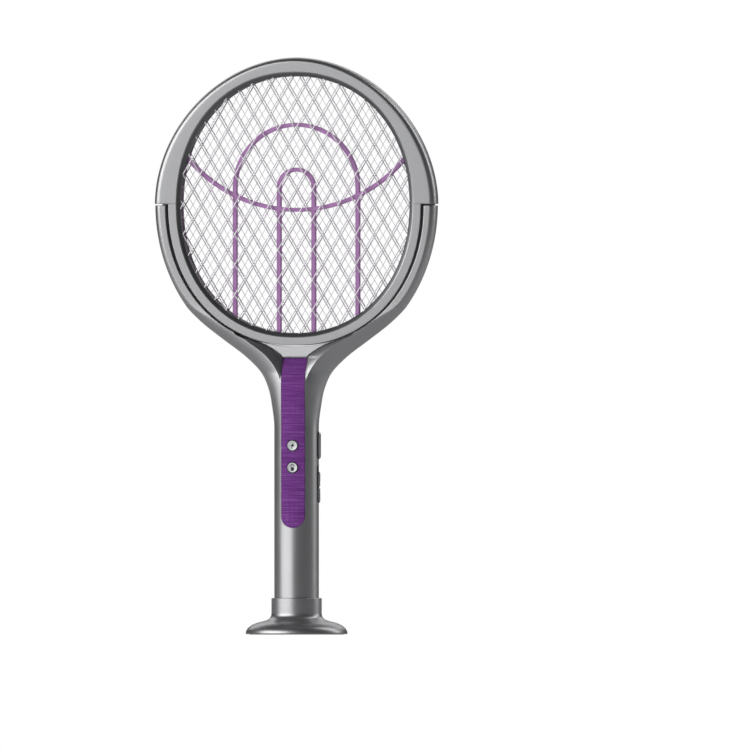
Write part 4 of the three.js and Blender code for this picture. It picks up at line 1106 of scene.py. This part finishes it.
def finish_inside():
    """Materials for the CAD pieces that stay as they are inside the handle."""
    finishes = {
        "battery_cell": WRAP, "main_board": BOARD, "side_board": BOARD, "zap_switch": BLACK_AND_SHADE,
        "mode_switch": BLACK_AND_SHADE, "trigger_switch": BLACK_AND_SHADE, "slide_switch": BLACK_AND_SHADE, "hv_transformer": COPPER,
        "usb_socket": STEEL, "arm_lead_right": LEAD, "arm_lead_left": LEAD,
        "hv_capacitor_1": CAPACITOR, "hv_capacitor_2": CAPACITOR, "hv_capacitor_3": CAPACITOR,
    }
    for node, material in finishes.items():
        mesh = frame["nodes"][node].data
        mesh.materials.clear()
        mesh.materials.append(material)


# ---- Light, floor and camera ----------------------------------------------------------------
TURN = math.radians(10.7)
VIEW = Vector((math.sin(TURN), -math.cos(TURN), 0))
RIGHT = Vector((math.cos(TURN), math.sin(TURN), 0))
VIEW_WIDTH = 0.6525
VIEW_CENTRE = RIGHT * 0.0682 + Vector((0, 0, 0.2258))
CAMERA_AWAY = 3
LIGHT_AIM = Vector((0, 0, 0.25))
FLOOR_HALF, FLOOR_Z = 3000, -0.2


def area_light(name, angle, height, distance, size, power):
    """A rectangular light aimed at the object, its angle measured to the right of the camera."""
    light = bpy.data.lights.new(name, "AREA")
    light.shape = "RECTANGLE"
    light.size, light.size_y = size
    light.energy = power
    lamp = bpy.data.objects.new(name, light)
    bpy.context.scene.collection.objects.link(lamp)
    a = math.radians(angle)
    lamp.location = (VIEW * math.cos(a) + RIGHT * math.sin(a)) * distance + Vector((0, 0, height))
    lamp.rotation_euler = (LIGHT_AIM - lamp.location).to_track_quat("-Z", "Y").to_euler()
    return lamp


def build_lights():
    """A broad key on the left, a narrow strip on the right and a soft light behind."""
    area_light("softbox_left", -55.5, 1.9, 6.0, (8.1, 3.8), 298)
    area_light("strip_right", 108, 2.0, 3.0, (0.75, 4.0), 34)
    back = area_light("softbox_back", 180, 2.7, 4.2, (7.0, 2.0), 52)
    back.visible_camera = False


def build_world():
    """White behind the object, with only a little fill light from it."""
    world = bpy.data.worlds.new("studio")
    bpy.context.scene.world = world
    world.use_nodes = True
    tree = world.node_tree
    shown = tree.nodes["Background"]
    shown.inputs["Color"].default_value = (1, 1, 1, 1)
    fill = tree.nodes.new("ShaderNodeBackground")
    fill.inputs["Color"].default_value = (0.92, 0.95, 1.0, 1)
    fill.inputs["Strength"].default_value = 0.05
    path = tree.nodes.new("ShaderNodeLightPath")
    mix = tree.nodes.new("ShaderNodeMixShader")
    tree.links.new(path.outputs["Is Camera Ray"], mix.inputs["Fac"])
    tree.links.new(fill.outputs["Background"], mix.inputs[1])
    tree.links.new(shown.outputs["Background"], mix.inputs[2])
    tree.links.new(mix.outputs["Shader"], tree.nodes["World Output"].inputs["Surface"])


def build_floor():
    """Plain pale floor just under the stand."""
    material = surface_material("floor_white", (0.86, 0.86, 0.865), 0.6, vary=0.02, grain=60)
    points = [(x * FLOOR_HALF, y * FLOOR_HALF, FLOOR_Z) for x, y in ((-1, -1), (1, -1), (1, 1), (-1, 1))]
    mesh_from("floor", points, [(0, 1, 2, 3)], material)


def build_camera():
    """Long view, level with the object and a little to its right."""
    data = bpy.data.cameras.new("camera")
    data.type = "ORTHO"
    data.ortho_scale = VIEW_WIDTH
    data.clip_end = 20
    camera = bpy.data.objects.new("camera", data)
    bpy.context.scene.collection.objects.link(camera)
    camera.location = VIEW_CENTRE + VIEW * CAMERA_AWAY
    camera.rotation_euler = (-VIEW).to_track_quat("-Z", "Y").to_euler()
    bpy.context.scene.camera = camera
    bpy.context.scene.view_settings.view_transform = "Standard"


build_stand()
build_handle()
build_controls()
build_head()
finish_inside()
build_lights()
build_world()
build_floor()
build_camera()
